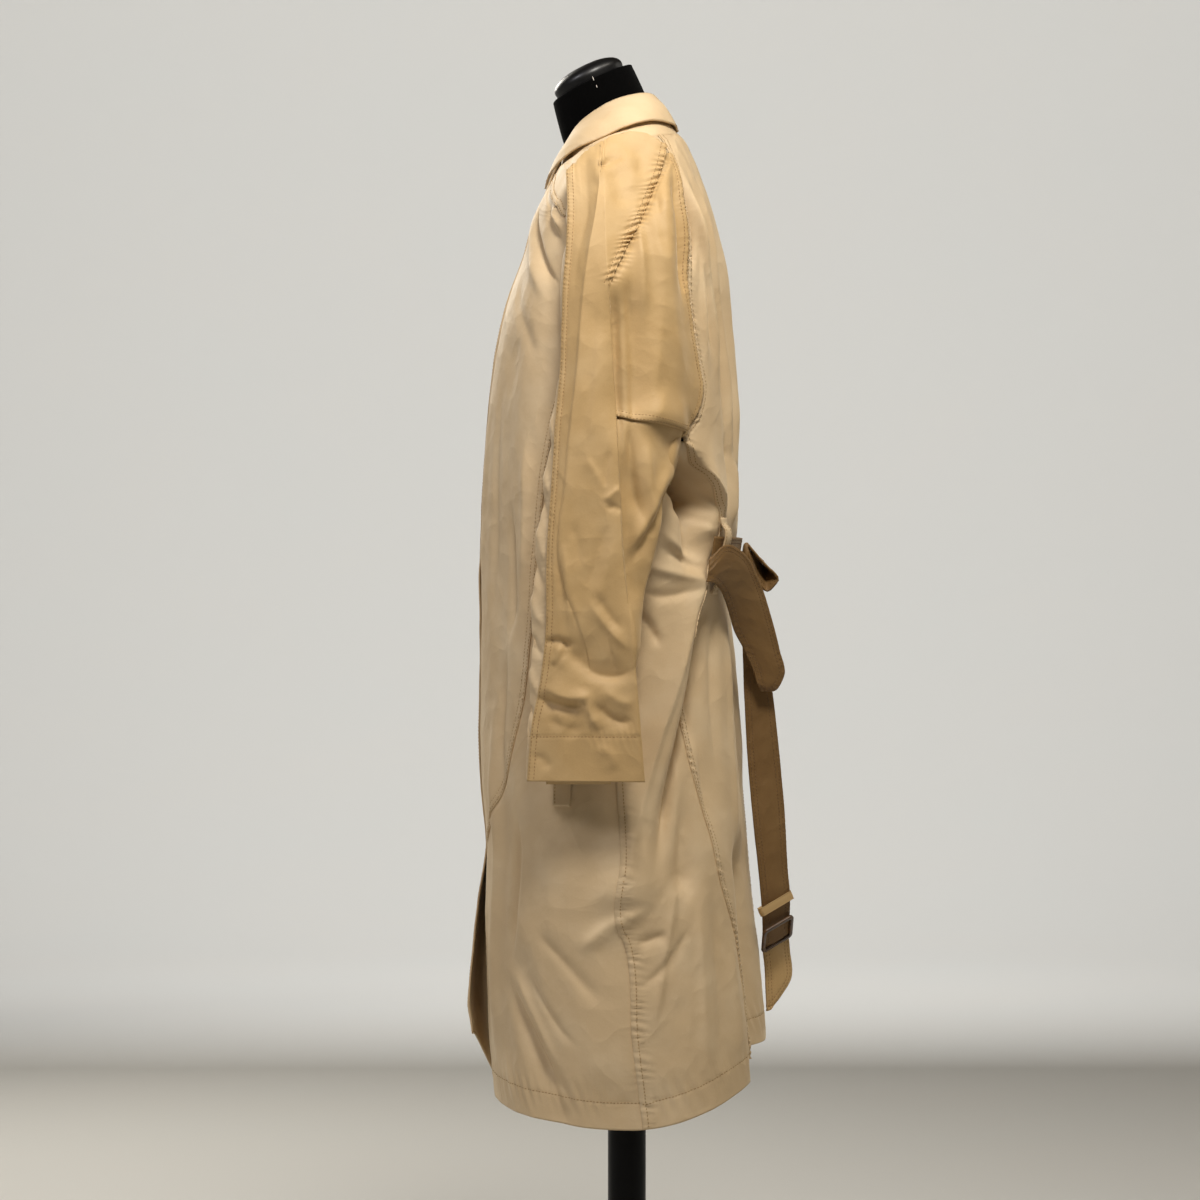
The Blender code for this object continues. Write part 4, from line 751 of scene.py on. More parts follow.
def body_ring(angle, height, stand=0.0):
    """Point on the body ring at an angle and a height, moved outwards by stand.

    x = half_width * sin(t) ** square and y = middle - half_depth * cos(t) ** square, both keeping their
    signs; the height rises by front_rise or back_rise times cos(t) ** RISE_POWER.
    """
    front_rise, back_rise, front, back, half_width, square = (
        smooth(height, body_columns[0], column) for column in body_columns[1:])
    fore, side = np.cos(np.radians(angle)), np.sin(np.radians(angle))
    middle, half_depth = (front + back) / 2, (back - front) / 2
    x = half_width * squared(side, square)
    y = middle - half_depth * squared(fore, square)
    z = (height + front_rise * np.maximum(fore, 0) ** RISE_POWER
         + back_rise * np.maximum(-fore, 0) ** RISE_POWER)
    out = np.stack((x / half_width ** 2, (y - middle) / half_depth ** 2), axis=-1)
    out /= np.linalg.norm(out, axis=-1, keepdims=True)
    return np.stack((x + out[..., 0] * stand, y + out[..., 1] * stand, z), axis=-1)


def body_normal(angle, height):
    """The ring surface's outward unit normal, from its slopes round and up, folds left out."""
    round_it = body_ring(angle + 0.5, height) - body_ring(angle - 0.5, height)
    up_it = body_ring(angle, height + 0.004) - body_ring(angle, height - 0.004)
    normal = np.cross(round_it, up_it)
    return normal / np.linalg.norm(normal, axis=-1, keepdims=True)


def seam(rows):
    """The seam's angle as a smooth function of height."""
    knots, angles = columns(rows)
    return lambda height: smooth(height, knots, angles)


def panel(left, right, low, high, side, first_under=0.0, last_under=0.0, tall=0.0022, wide=0.0031):
    """Angles and heights of a panel's fine grid between two seams, run on under a lapping neighbour."""
    scale = BODY_CELLS[side]
    rows = 2 * int((high - low) / (2 * tall * scale)) + 1
    height = np.linspace(low, high, rows)
    start = (left(height) if callable(left) else np.full(rows, left)) - first_under
    end = (right(height) if callable(right) else np.full(rows, right)) + last_under
    cols = 2 * int(np.max(end - start) * ARC / (2 * wide * scale)) + 1
    share = np.linspace(0.0, 1.0, cols)
    return start[:, None] + share * (end - start)[:, None], np.repeat(height[:, None], cols, axis=1)


def body_lift(angle, height, side):
    """The panel's creases and handling marks, as lift along the normal."""
    other = side == "right"
    arc = angle * ARC
    return (creased(arc, height, [(rise, a, b, crisp, [(t * ARC, h) for t, h in line])
                                  for rise, a, b, crisp, line in BODY_CREASES],
                    vary=0.006 if other else 0.0, seed=5)
            + rumpled(arc, height, 40 if other else 20))


def body_panel(name, side, angle, height, edges, shape=None, seed=0):
    """Sew one panel of the body. shape may move the ring surface, as at the fronts and the vent."""
    base = body_ring(angle, height, ring_lift(angle, height))
    if shape:
        base = shape(base, angle, height)
    sewn(f"{name}_{side}_cloth", base, body_lift(angle, height, side), edges, coat_cloth,
         [f"{name}_{side}"], side, seed, normals=body_normal(angle, height))


def left_front_shape(base, angle, height):
    """The left front lies one layer behind the right front at the centre."""
    base[..., 1] += LAYER_GAP * np.clip((20.0 - angle) / 12.0, 0.0, 1.0)
    return base


def right_front_shape(base, angle, height):
    """Below the hip the right front's edge swings forward, and its hem is drawn up."""
    share = (angle - angle[:, :1]) / (angle[:, -1:] - angle[:, :1])
    near_edge = eased((1.0 - share) / 0.8)
    base[..., 1] -= FRONT_SWING * np.clip((HIP - height) / 0.24, 0.0, 1.0) * near_edge
    base[..., 2] += FRONT_RISE * np.clip((HIP - height) / 0.28, 0.0, 1.0) * near_edge
    return base


def drawn_up_shape(base, angle, height):
    """The backs' hems hang a little higher than the side backs'."""
    base[..., 2] += HEM_RISE * np.clip((DRAWN_FROM - height) / (DRAWN_FROM - HEM_LEVEL), 0.0, 1.0)
    return base


def under_vent_shape(base, angle, height):
    """Below the vent's top the right back runs on under the left one."""
    base = drawn_up_shape(base, angle, height)
    share = (angle - angle[:, :1]) / (angle[:, -1:] - angle[:, :1])
    under = LAYER_GAP * eased((VENT_TOP + 0.04 - height) / 0.04)
    base[..., 1] -= under * np.clip((share - 0.4) / 0.3, 0.0, 1.0)
    return base


front_side, side_seam, back_side = seam(FRONT_SIDE), seam(SIDE_SEAM), seam(BACK_SIDE)
ARMHOLE_NOTCH = 1.138       # where the front seam runs into the armhole


def front_run(height):
    """The front's edge: its seam below the armhole, and on under the sleeve and the yoke above it."""
    return front_side(height) + 2 * UNDERLAP * eased((height - ARMHOLE_NOTCH) / 0.02)


HEM = edge_row("low", at=(0.028,), pucker=0.0011, pitch=0.0115, reach=0.016)
for side in ("left", "right"):
    seed = 0 if side == "left" else 300
    shape = left_front_shape if side == "left" else right_front_shape
    angle, height = panel(-FRONT_EDGE, front_run, HEM_LEVEL, NECKLINE, side)
    body_panel("coat_front", side, angle, height,
               (edge_row("first", at=(0.012,)),
                edge_row("last", "lap", LAP_ROWS, 0.0010, 0.0048, 0.006, high=ARMHOLE_NOTCH),
                edge_row("last", "under", low=ARMHOLE_NOTCH), HEM), shape, seed + 11)
    angle, height = panel(front_side, side_seam, HEM_LEVEL, ARMPIT, side, UNDERLAP, UNDERLAP)
    body_panel("coat_side_front", side, angle, height,
               (edge_row("first", "under"), edge_row("last", "under", (), 0.0005, 0.007, 0.012), HEM),
               None, seed + 31)
    angle, height = panel(side_seam, back_side, HEM_LEVEL, ARMPIT, side, last_under=UNDERLAP)
    body_panel("coat_side_back", side, angle, height,
               (edge_row("first", "lap", (0.0066,), 0.0012, 0.0068, 0.009), edge_row("last", "under"), HEM),
               None, seed + 51)
    vent = 180.0 if side == "left" else lambda h: 180.0 + VENT_EDGE * eased((VENT_TOP - h) / 0.004)
    angle, height = panel(back_side, vent, HEM_LEVEL, NECKLINE, side)
    body_panel("coat_back", side, angle, height,
               (edge_row("first", "lap", LAP_ROWS, 0.0010, 0.0064, 0.008),
                edge_row("last", "plain", (0.006,), 0.0006, 0.0075, 0.008), HEM),
               drawn_up_shape if side == "left" else under_vent_shape, seed + 71)


# ---- Yoke: a shoulder strip from the front chest over the shoulder, cut single -------------------
# Its outer edge is turned under and sewn down on the fronts with two rows of stitches.
YOKE = (
    # outer_angle outer_height neck_angle: from the armhole or a seam up to the neckline
    (24.0, 1.3475, 20.0), (37.5, 1.3255, 30.0), (51.5, 1.3105, 42.0), (63.5, 1.3020, 54.0),
    (67.5, 1.3300, 63.0), (74.0, 1.3530, 71.0), (83.0, 1.3660, 81.0), (94.0, 1.3700, 93.0),
    (106.0, 1.3700, 106.0), (119.0, 1.3660, 120.5),
)

for side in ("left", "right"):
    scale = BODY_CELLS[side]
    outer_angle, outer_height, neck_angle = resample(YOKE, 2 * int(62 / scale) + 1).T
    share = np.linspace(0.0, 1.0, 2 * int(26 / scale) + 1)[:, None]
    angle = outer_angle + share * (neck_angle - outer_angle)
    height = outer_height + share * (NECKLINE - outer_height)
    body_panel("coat_yoke", side, angle, height,
               (edge_row("low", "lap", (0.0016, 0.0072), 0.0006, 0.0048, 0.007),
                edge_row("first", "lap", (0.002,), 0.0004, 0.006, 0.006)), None,
               91 if side == "left" else 391)


# ---- Pocket welts: narrow doubled strips set upright on the side fronts --------------------------
# Each is folded lengthwise, sewn in along its front edge and bartacked at both ends.
POCKET = (
    # height angle_front angle_back
    (0.690, 72.5, 79.0), (0.715, 73.2, 79.7), (0.757, 74.5, 81.0), (0.778, 75.1, 81.6),
    (0.830, 76.8, 83.3), (0.861, 78.0, 84.5),
)
POCKET_STAND = 0.0040

for side in ("left", "right"):
    rows = 2 * int(40 / BODY_CELLS[side]) + 1
    height, angle_front, angle_back = resample(POCKET, rows).T
    share = np.linspace(0.0, 1.0, 11)[None, :]
    angle = angle_front[:, None] + share * (angle_back - angle_front)[:, None]
    height = np.repeat(height[:, None], 11, axis=1)
    base = body_ring(angle, height, ring_lift(angle, height) + POCKET_STAND)
    sewn(f"coat_pocket_welt_{side}_cloth", base, body_lift(angle, height, side),
         (edge_row("first", "plain", (0.002,), 0.0003, 0.006, 0.004), edge_row("last")),
         coat_cloth, [f"coat_pocket_welt_{side}"], side, 95,
         normals=body_normal(angle, height))


# ---- Sleeves: five pieces each, cut full, gathered into the head and pressed flat at the side ----
# The top sleeve laps the front strip and the back pieces; the back has a seam at the elbow.
SLEEVE_HEAD = (
    # x y z: the gathered seam at the shoulder, front to back
    (0.1730, -0.0600, 1.3470), (0.1745, -0.0460, 1.3640), (0.1715, -0.0270, 1.3770),
    (0.1690, -0.0100, 1.3850), (0.1665, 0.0080, 1.3880), (0.1650, 0.0240, 1.3840),
    (0.1640, 0.0400, 1.3700),
)
HEAD_SEAM = (
    # angle height: the yoke's edge that the head is sewn to, front to back
    (65.5, 1.3160), (67.5, 1.3300), (74.0, 1.3530), (83.0, 1.3660), (94.0, 1.3700), (106.0, 1.3700),
    (119.0, 1.3660),
)
SLEEVE_TOP = (
    # z front_y front_x valley_y valley_x ridge_y ridge_x knife_y knife_x end_y end_x
    (0.717, -0.1035, 0.228, -0.0700, 0.239, -0.0400, 0.243, 0.0144, 0.248, 0.0169, 0.2465),
    (0.776, -0.0985, 0.229, -0.0700, 0.240, -0.0400, 0.244, 0.0095, 0.250, 0.0120, 0.2485),
    (0.820, -0.0901, 0.231, -0.0650, 0.241, -0.0400, 0.245, 0.0060, 0.251, 0.0085, 0.2495),
    (0.877, -0.0840, 0.233, -0.0700, 0.240, -0.0500, 0.245, 0.0020, 0.253, 0.0045, 0.2515),
    (0.943, -0.0830, 0.233, -0.0770, 0.238, -0.0700, 0.243, -0.0047, 0.255, -0.0022, 0.2535),
    (1.024, -0.0779, 0.231, -0.0705, 0.238, -0.0640, 0.246, -0.0088, 0.255, -0.0063, 0.2535),
    (1.084, -0.0745, 0.229, -0.0655, 0.237, -0.0590, 0.246, -0.0120, 0.254, -0.0095, 0.2525),
    (1.137, -0.0698, 0.226, -0.0610, 0.234, -0.0525, 0.245, -0.0160, 0.253, -0.0135, 0.2515),
    (1.185, -0.0680, 0.222, -0.0585, 0.231, -0.0490, 0.242, -0.0190, 0.250, -0.0165, 0.2490),
    (1.222, -0.0668, 0.219, -0.0550, 0.228, -0.0460, 0.240, -0.0205, 0.248, -0.0180, 0.2465),
    (1.258, -0.0640, 0.213, -0.0500, 0.222, -0.0412, 0.236, -0.0225, 0.241, -0.0035, 0.229),
    (1.302, -0.0625, 0.203, -0.0405, 0.211, -0.0335, 0.224, -0.0245, 0.226, 0.0172, 0.205),
    (1.340, -0.0640, 0.190, -0.0440, 0.194, -0.0290, 0.205, -0.0240, 0.204, 0.0320, 0.182),
)
SLEEVE_UNDER = (
    # z front_y front_x back_y back_x: where the sleeve turns in towards the body
    (0.717, -0.1058, 0.214, 0.0060, 0.2200), (0.776, -0.1040, 0.214, 0.0050, 0.2200),
    (0.820, -0.1017, 0.214, 0.0060, 0.2200), (0.877, -0.1010, 0.214, 0.0110, 0.2190),
    (0.943, -0.0966, 0.214, 0.0273, 0.2170), (1.024, -0.0865, 0.214, 0.0440, 0.2150),
    (1.084, -0.0790, 0.214, 0.0520, 0.2100), (1.137, -0.0720, 0.214, 0.0560, 0.212),
)
SLEEVE_CREASES = (
    # rise left right crisp line: widths beside the line through (y, z) points, as for the body
    # soft folds of the gathered head
    (-0.0030, 0.009, 0.006, 0.2, ((-0.012, 1.352), (-0.010, 1.330), (-0.006, 1.300))),
    (0.0030, 0.008, 0.006, 0.2, ((-0.002, 1.372), (0.002, 1.348), (0.003, 1.320))),
    (-0.0022, 0.006, 0.005, 0.3, ((0.009, 1.376), (0.012, 1.356), (0.010, 1.335))),
    (0.0022, 0.006, 0.005, 0.3, ((-0.036, 1.366), (-0.032, 1.345), (-0.030, 1.325))),
    (-0.0040, 0.004, 0.005, 0.4, ((-0.030, 1.356), (-0.024, 1.351), (-0.015, 1.357), (-0.008, 1.355))),
    # the flat panel's faint facets and dents
    (0.0012, 0.010, 0.006, 0.4, ((-0.028, 1.190), (-0.034, 1.120), (-0.040, 1.040), (-0.046, 0.970))),
    (-0.0012, 0.008, 0.006, 0.3, ((-0.034, 1.230), (-0.036, 1.150), (-0.048, 1.060))),
    (0.0018, 0.003, 0.007, 0.5, ((-0.045, 1.050), (-0.034, 1.033), (-0.021, 1.008))),
    (-0.0020, 0.003, 0.005, 0.6, ((-0.018, 1.062), (-0.024, 1.024), (-0.026, 1.004))),
    (0.0026, 0.003, 0.006, 0.5, ((-0.026, 1.001), (-0.016, 1.010), (-0.006, 1.018))),
    (-0.0020, 0.004, 0.004, 0.5, ((-0.024, 0.994), (-0.014, 0.996), (-0.006, 0.990))),
    (-0.0018, 0.006, 0.005, 0.4, ((-0.020, 0.985), (-0.034, 0.940), (-0.044, 0.900))),
    (0.0018, 0.006, 0.006, 0.3, ((-0.012, 0.970), (-0.024, 0.925), (-0.033, 0.890))),
    (-0.0016, 0.005, 0.005, 0.4, ((-0.060, 0.985), (-0.052, 0.960), (-0.048, 0.930))),
    # the crumples above the cuff
    (0.0040, 0.009, 0.0030, 0.7, ((-0.068, 0.965), (-0.0635, 0.930), (-0.0600, 0.892), (-0.0570, 0.858))),
    (-0.0042, 0.0030, 0.007, 0.7, ((-0.0880, 0.8580), (-0.0737, 0.8614), (-0.0560, 0.8540))),
    (-0.0026, 0.0040, 0.004, 0.7, ((-0.0610, 0.8640), (-0.0660, 0.8480), (-0.0780, 0.8320))),
    (0.0040, 0.006, 0.004, 0.7, ((-0.0700, 0.8590), (-0.0715, 0.8460), (-0.0780, 0.8340))),
    (-0.0080, 0.026, 0.006, 0.6, ((-0.0700, 0.862), (-0.0500, 0.839), (-0.0320, 0.826), (-0.0130, 0.824),
                                  (0.0100, 0.836))),
    (0.0030, 0.008, 0.005, 0.5, ((-0.044, 0.906), (-0.026, 0.880), (-0.010, 0.862), (0.006, 0.848))),
    (-0.0024, 0.005, 0.006, 0.5, ((-0.036, 0.912), (-0.018, 0.884), (-0.004, 0.868))),
    (0.0055, 0.014, 0.0040, 0.6, ((-0.0900, 0.816), (-0.0690, 0.8040), (-0.0530, 0.8010), (-0.036, 0.809))),
    (-0.0050, 0.0035, 0.008, 0.7, ((-0.0990, 0.8060), (-0.0750, 0.7965), (-0.0600, 0.7930),
                                   (-0.0420, 0.7945))),
    (0.0055, 0.008, 0.005, 0.6, ((-0.0520, 0.8140), (-0.0400, 0.7890), (-0.0300, 0.7660))),
    (-0.0050, 0.006, 0.007, 0.6, ((-0.0380, 0.8010), (-0.0200, 0.7830), (-0.0050, 0.7780), (0.0090, 0.7800))),
    (0.0024, 0.006, 0.006, 0.4, ((-0.0280, 0.8130), (-0.0100, 0.8000), (0.0080, 0.7950))),
    (-0.0024, 0.006, 0.006, 0.5, ((-0.0860, 0.7810), (-0.0640, 0.7720), (-0.0440, 0.7680))),
    (0.0020, 0.004, 0.006, 0.6, ((-0.0800, 0.7940), (-0.0680, 0.7820), (-0.0620, 0.7640))),
    (-0.0020, 0.004, 0.005, 0.5, ((-0.0980, 0.7440), (-0.0880, 0.7400), (-0.0800, 0.7280))),
    (0.0018, 0.006, 0.005, 0.4, ((-0.0320, 0.7560), (-0.0180, 0.7440), (-0.0150, 0.7260))),
    # the back's two deep troughs, the full folds beside them and the elbow's pulls
    (-0.0150, 0.0095, 0.0120, 0.3, ((-0.0140, 1.236), (-0.0120, 1.180), (-0.0095, 1.120), (-0.0070, 1.050))),
    (-0.0080, 0.0110, 0.0100, 0.3, ((-0.0070, 1.085), (-0.0010, 1.020), (0.0030, 0.950), (0.0060, 0.870))),
    (-0.0140, 0.0130, 0.0120, 0.2, ((0.0000, 1.260), (0.0060, 1.200), (0.0100, 1.140), (0.0105, 1.090),
                                    (0.0100, 1.040))),
    (0.0050, 0.0120, 0.0045, 0.3, ((0.0270, 1.310), (0.0305, 1.240), (0.0300, 1.170), (0.0270, 1.120),
                                   (0.0220, 1.080))),
    (0.0040, 0.0050, 0.0050, 0.3, ((0.0060, 1.320), (0.0120, 1.270), (0.0160, 1.220), (0.0180, 1.170))),
    (0.0100, 0.0220, 0.0140, 0.2, ((0.0120, 1.100), (0.0300, 1.090), (0.0430, 1.085), (0.0660, 1.084))),
    (0.0080, 0.0140, 0.0090, 0.1, ((0.0400, 1.345), (0.0370, 1.285), (0.0400, 1.210), (0.0500, 1.130),
                                   (0.0530, 1.090))),
    (-0.0040, 0.0060, 0.0070, 0.3, ((0.0280, 1.330), (0.0330, 1.290), (0.0330, 1.250))),
    (-0.0100, 0.0026, 0.0070, 0.4, ((0.0440, 1.358), (0.0545, 1.315), (0.0580, 1.265), (0.0560, 1.200))),
    (0.0045, 0.0060, 0.0060, 0.3, ((0.0460, 1.052), (0.0380, 1.026), (0.0230, 0.990), (0.0080, 0.960),
                                   (-0.0010, 0.940))),
    (-0.0050, 0.0050, 0.0050, 0.4, ((0.0480, 1.036), (0.0380, 1.005), (0.0240, 0.975), (0.0060, 0.930))),
    (-0.0080, 0.0060, 0.0080, 0.4, ((0.0030, 1.092), (0.0060, 1.060), (0.0090, 1.020), (0.0210, 0.970))),
    (0.0040, 0.0050, 0.0060, 0.3, ((0.0200, 1.070), (0.0210, 1.040), (0.0240, 1.000), (0.0260, 0.970))),
    (0.0035, 0.0060, 0.0060, 0.3, ((0.0140, 0.920), (0.0080, 0.880), (0.0060, 0.830))),
)
FRONT_STRIP_CREASES = (
    # rise left right crisp line: drag lines that run back and down into the puckered seam
    (0.0022, 0.004, 0.005, 0.3, ((-0.0860, 1.105), (-0.0780, 1.082), (-0.0730, 1.050))),
    (-0.0022, 0.004, 0.004, 0.4, ((-0.0880, 1.082), (-0.0800, 1.060), (-0.0750, 1.036))),
    (0.0024, 0.004, 0.005, 0.3, ((-0.0900, 1.046), (-0.0840, 1.024), (-0.0780, 1.005))),
    (-0.0024, 0.004, 0.004, 0.4, ((-0.0930, 1.014), (-0.0860, 0.996), (-0.0800, 0.972))),
    (0.0026, 0.005, 0.005, 0.3, ((-0.0960, 0.985), (-0.0890, 0.958), (-0.0830, 0.936))),
    (-0.0026, 0.004, 0.005, 0.4, ((-0.0990, 0.950), (-0.0910, 0.925), (-0.0840, 0.908))),
    (0.0024, 0.004, 0.005, 0.3, ((-0.1010, 0.912), (-0.0930, 0.886), (-0.0850, 0.872))),
    (-0.0026, 0.004, 0.004, 0.4, ((-0.1020, 0.870), (-0.0940, 0.852), (-0.0860, 0.842))),
    (0.0024, 0.004, 0.005, 0.3, ((-0.1040, 0.838), (-0.0960, 0.815), (-0.0900, 0.802))),
    (-0.0024, 0.004, 0.004, 0.4, ((-0.1060, 0.800), (-0.0980, 0.782), (-0.0930, 0.768))),
)
SLEEVE_INSIDE = 0.2045      # X of the layer next to the body
ARMHOLE_STAND = 0.0022      # how far the sleeve's edge stands off the body at the armhole
ELBOW_TOP, ELBOW_BACK = 1.090, 1.076    # the elbow seam at the knife edge and at the armhole
CUFF = 0.717
RIDGE_FOOT = (
    # height share: where the pressed ridge falls off sharply to the valley beside it
    (0.83, 0.0), (0.93, 1.0), (1.30, 1.0), (1.34, 0.0),
)
FOOT_OFF = (-0.0042, -0.0016, 0.0)      # from the ridge to its foot
STRIP_OFF = (-0.0012, 0.004, 0.0)       # from the top sleeve's front seam to the strip's edge below it
BACK_OFF = (-0.0014, -0.003, 0.0)       # from the top sleeve's back seam to the back's edge below it
HEAD_BEND, HEAD_CREST, HEAD_STAND = 0.55, 0.010, 0.0016     # how the head runs on, humps and lands
BACK_PUFF = 0.020           # how far the fullness of the upper back stands out
FRONT_INSET, BACK_INSET = 0.020, 0.022      # how far the outer pieces run in beside the body
UNDER_FRONT, UNDER_BACK = 0.0215, 0.0240    # where the layer next to the body starts behind them
ARMPIT_FOLD, LOWER_TOP = 1.060, 1.0935      # where the pieces below the elbow close, and their top
TOP_CELLS, STRIP_CELLS, LOWER_CELLS = (4, 3, 1, 13, 6), (4, 6), (7, 5, 2, 4)    # cells from line to line
SLEEVE_SAND, SLEEVE_SHADE, SLEEVE_LIGHT = "#C2A272", "#B49462", "#CBAE81"
CELL = 0.0022
SLEEVE_CELLS = {"left": 0.78, "right": 1.5}     # grid cell scale of each sleeve
HEAD_FOOT, BACK_TOP = 1.340, 1.366      # where the head starts to close, and the back piece's top
PUCKERED = 1.215            # rows are closer above this height, for the gathers
ARMHOLE_FRONT = (
    # height angle: below the notch
    (1.066, 92.0), (1.100, 87.5), (1.138, 80.8),
)

sleeve_cloth = gabardine("KhakiCottonGabardine", SLEEVE_SAND, SLEEVE_SHADE, SLEEVE_LIGHT, 0.58)
top_columns, under_columns = columns(SLEEVE_TOP), columns(SLEEVE_UNDER)


def sleeve_line(name, height):
    """Points on a named line of the top sleeve at each height."""
    place = {"front": 1, "valley": 3, "ridge": 5, "knife": 7, "end": 9}[name]
    y, x = (smooth(height, top_columns[0], top_columns[place + k]) for k in (0, 1))
    return np.stack((x, y, height), axis=-1)


def under_line(name, height):
    """Points where the sleeve turns in, at its front or its back."""
    place = {"front": 1, "back": 3}[name]
    y, x = (smooth(height, under_columns[0], under_columns[place + k]) for k in (0, 1))
    return np.stack((x, y, height), axis=-1)


def armhole(edge, height):
    """Points on the armhole's front or back edge, standing just off the body."""
    if edge == "front":
        low = smooth(np.clip(height, 1.068, ARMHOLE_NOTCH), *columns(ARMHOLE_FRONT))
        angle = np.where(height < ARMHOLE_NOTCH, low, front_side(np.clip(height, ARMHOLE_NOTCH, 1.292)))
    else:
        angle = back_side(height)
    return body_ring(angle, height, ARMHOLE_STAND)


def sections(*stops, close=1.0):
    """A grid through lines of points: each (line, cells) adds that many even steps from the last one.

    The last stop's steps shrink towards its line: 1 - (1 - share) ** close.
    """
    parts, last = [stops[0][0][:, None]], stops[0][0]
    for place, (line, cells) in enumerate(stops[1:], 2):
        share = np.linspace(0.0, 1.0, cells + 1)[1:][None, :, None]
        if place == len(stops):
            share = 1 - (1 - share) ** close
        parts.append(last[:, None] + share * (line - last)[:, None])
        last = line
    return np.concatenate(parts, axis=1)


def odd_heights(low, high, scale, close=9.0):
    """Even steps of height, an odd number of rows; above close the steps are half as tall."""
    def steps(start, end, tall):
        return np.linspace(start, end, 2 * int((end - start) / (2 * tall * scale)) + 1)
    if close > high:
        return steps(low, high, CELL)
    return np.concatenate((steps(low, close, CELL)[:-1], steps(close, high, CELL / 2)))


def rounded(grid, passes=1):
    """Soften a grid's corners across its columns: each point moves halfway to its neighbours' middle."""
    grid = grid.copy()
    for _ in range(passes):
        grid[:, 1:-1] += 0.5 * ((grid[:, :-2] + grid[:, 2:]) / 2 - grid[:, 1:-1])
    return grid


def bowed(start, bend, end, steps):
    """Rows of a quadratic curve from each start point towards its bend and on to its end point."""
    share = np.linspace(0.0, 1.0, steps + 1)[1:, None, None]
    return start * (1 - share) ** 2 + 2 * bend * share * (1 - share) + end * share ** 2


def top_sleeve(scale):
    """Front seam, valley, pressed ridge, flat panel, knife edge and back seam; the head closes above.

    Above the last section each line goes on as a quadratic curve to its place on the gathered head, and
    from there turns in and down to the yoke's edge.
    """
    height = odd_heights(CUFF, HEAD_FOOT, scale, PUCKERED)
    lines = [sleeve_line(name, height) for name in ("front", "valley", "ridge", "knife", "end")]
    flare = np.interp(height, *columns(RIDGE_FOOT))[:, None]
    foot = lines[2] + flare * np.array(FOOT_OFF)
    cells = [max(2, 2 * int(n / scale)) for n in TOP_CELLS]
    grid = sections((lines[0], 0), (lines[1], cells[0]), (foot, cells[1]), (lines[2], cells[2]),
                    (lines[3], cells[3]), (lines[4], cells[4]), close=1.8)
    across = run_along(grid[-1])
    head = sampled(across / across[-1], np.linspace(0, 1, 60), resample(SLEEVE_HEAD, 60))
    head[:, 0] += ARMHOLE_STAND
    rise = grid[-1] - grid[-17]
    gap, step = np.linalg.norm(head - grid[-1], axis=1), np.linalg.norm(rise, axis=1)
    rise *= (HEAD_BEND * gap / step)[:, None]
    cap = bowed(grid[-1], grid[-1] + rise, head, 2 * int(20 / scale))
    edge = body_ring(*columns(HEAD_SEAM), HEAD_STAND)
    edge = sampled(head[:, 1], edge[:, 1], edge)
    crest = (head + edge) / 2 + np.array((0.0, 0.0, HEAD_CREST))
    tuck = bowed(head, crest, edge, 2 * int(8 / scale))
    return rounded(np.concatenate((grid, cap, tuck)))


def inside_line(y, height):
    """Points on the layer next to the body, at each depth and height."""
    return np.stack((np.full_like(height, SLEEVE_INSIDE), y, height), axis=-1)


def front_strip(scale):
    """From the armhole, or from the layer next to the body, round the front to the top sleeve's seam."""
    height = odd_heights(CUFF, HEAD_FOOT, scale)
    outer = sleeve_line("front", height) + np.array(STRIP_OFF)
    turn = under_line("front", height)
    inner = inside_line(turn[:, 1] + FRONT_INSET, height)
    high = np.clip((height - 1.055) / 0.029, 0.0, 1.0)[:, None]
    inner = inner * (1 - high) + armhole("front", height) * high
    above = eased((height - 1.120) / 0.04)[:, None]
    turn = turn * (1 - above) + (outer * 0.55 + inner * 0.45 + np.array((0.0, -0.004, 0.0))) * above
    cells = [2 * int(n / scale) for n in STRIP_CELLS]
    return rounded(sections((inner, 0), (turn, cells[0]), (outer, cells[1])), 3)


def back_upper(scale):
    """Above the elbow seam: from under the gathered seam, over two deep troughs, to the armhole."""
    height = odd_heights(ELBOW_TOP, BACK_TOP, scale, PUCKERED)
    start = sleeve_line("end", height) + np.array(BACK_OFF)
    late = eased((height - 1.335) / 0.031)[:, None]
    top = np.stack((0.1640 + 0 * height, 0.0400 + 0 * height, height), axis=-1)
    start = start * (1 - late) + top * late
    low = eased(1.0 - (height - ELBOW_TOP) / 0.06)
    hole = armhole("back", height - (ELBOW_TOP - ELBOW_BACK) * low) + np.array((0.001, 0.0, 0.0))
    share = np.linspace(0.0, 1.0, 2 * int(20 / scale) + 1)
    grid = start[:, None] + share[None, :, None] * (hole - start)[:, None]
    puff = np.sin(np.pi * share)[None] * np.clip((1.362 - height) / 0.05, 0.0, 1.0)[:, None]
    grid[..., 0] += BACK_PUFF * puff
    return grid


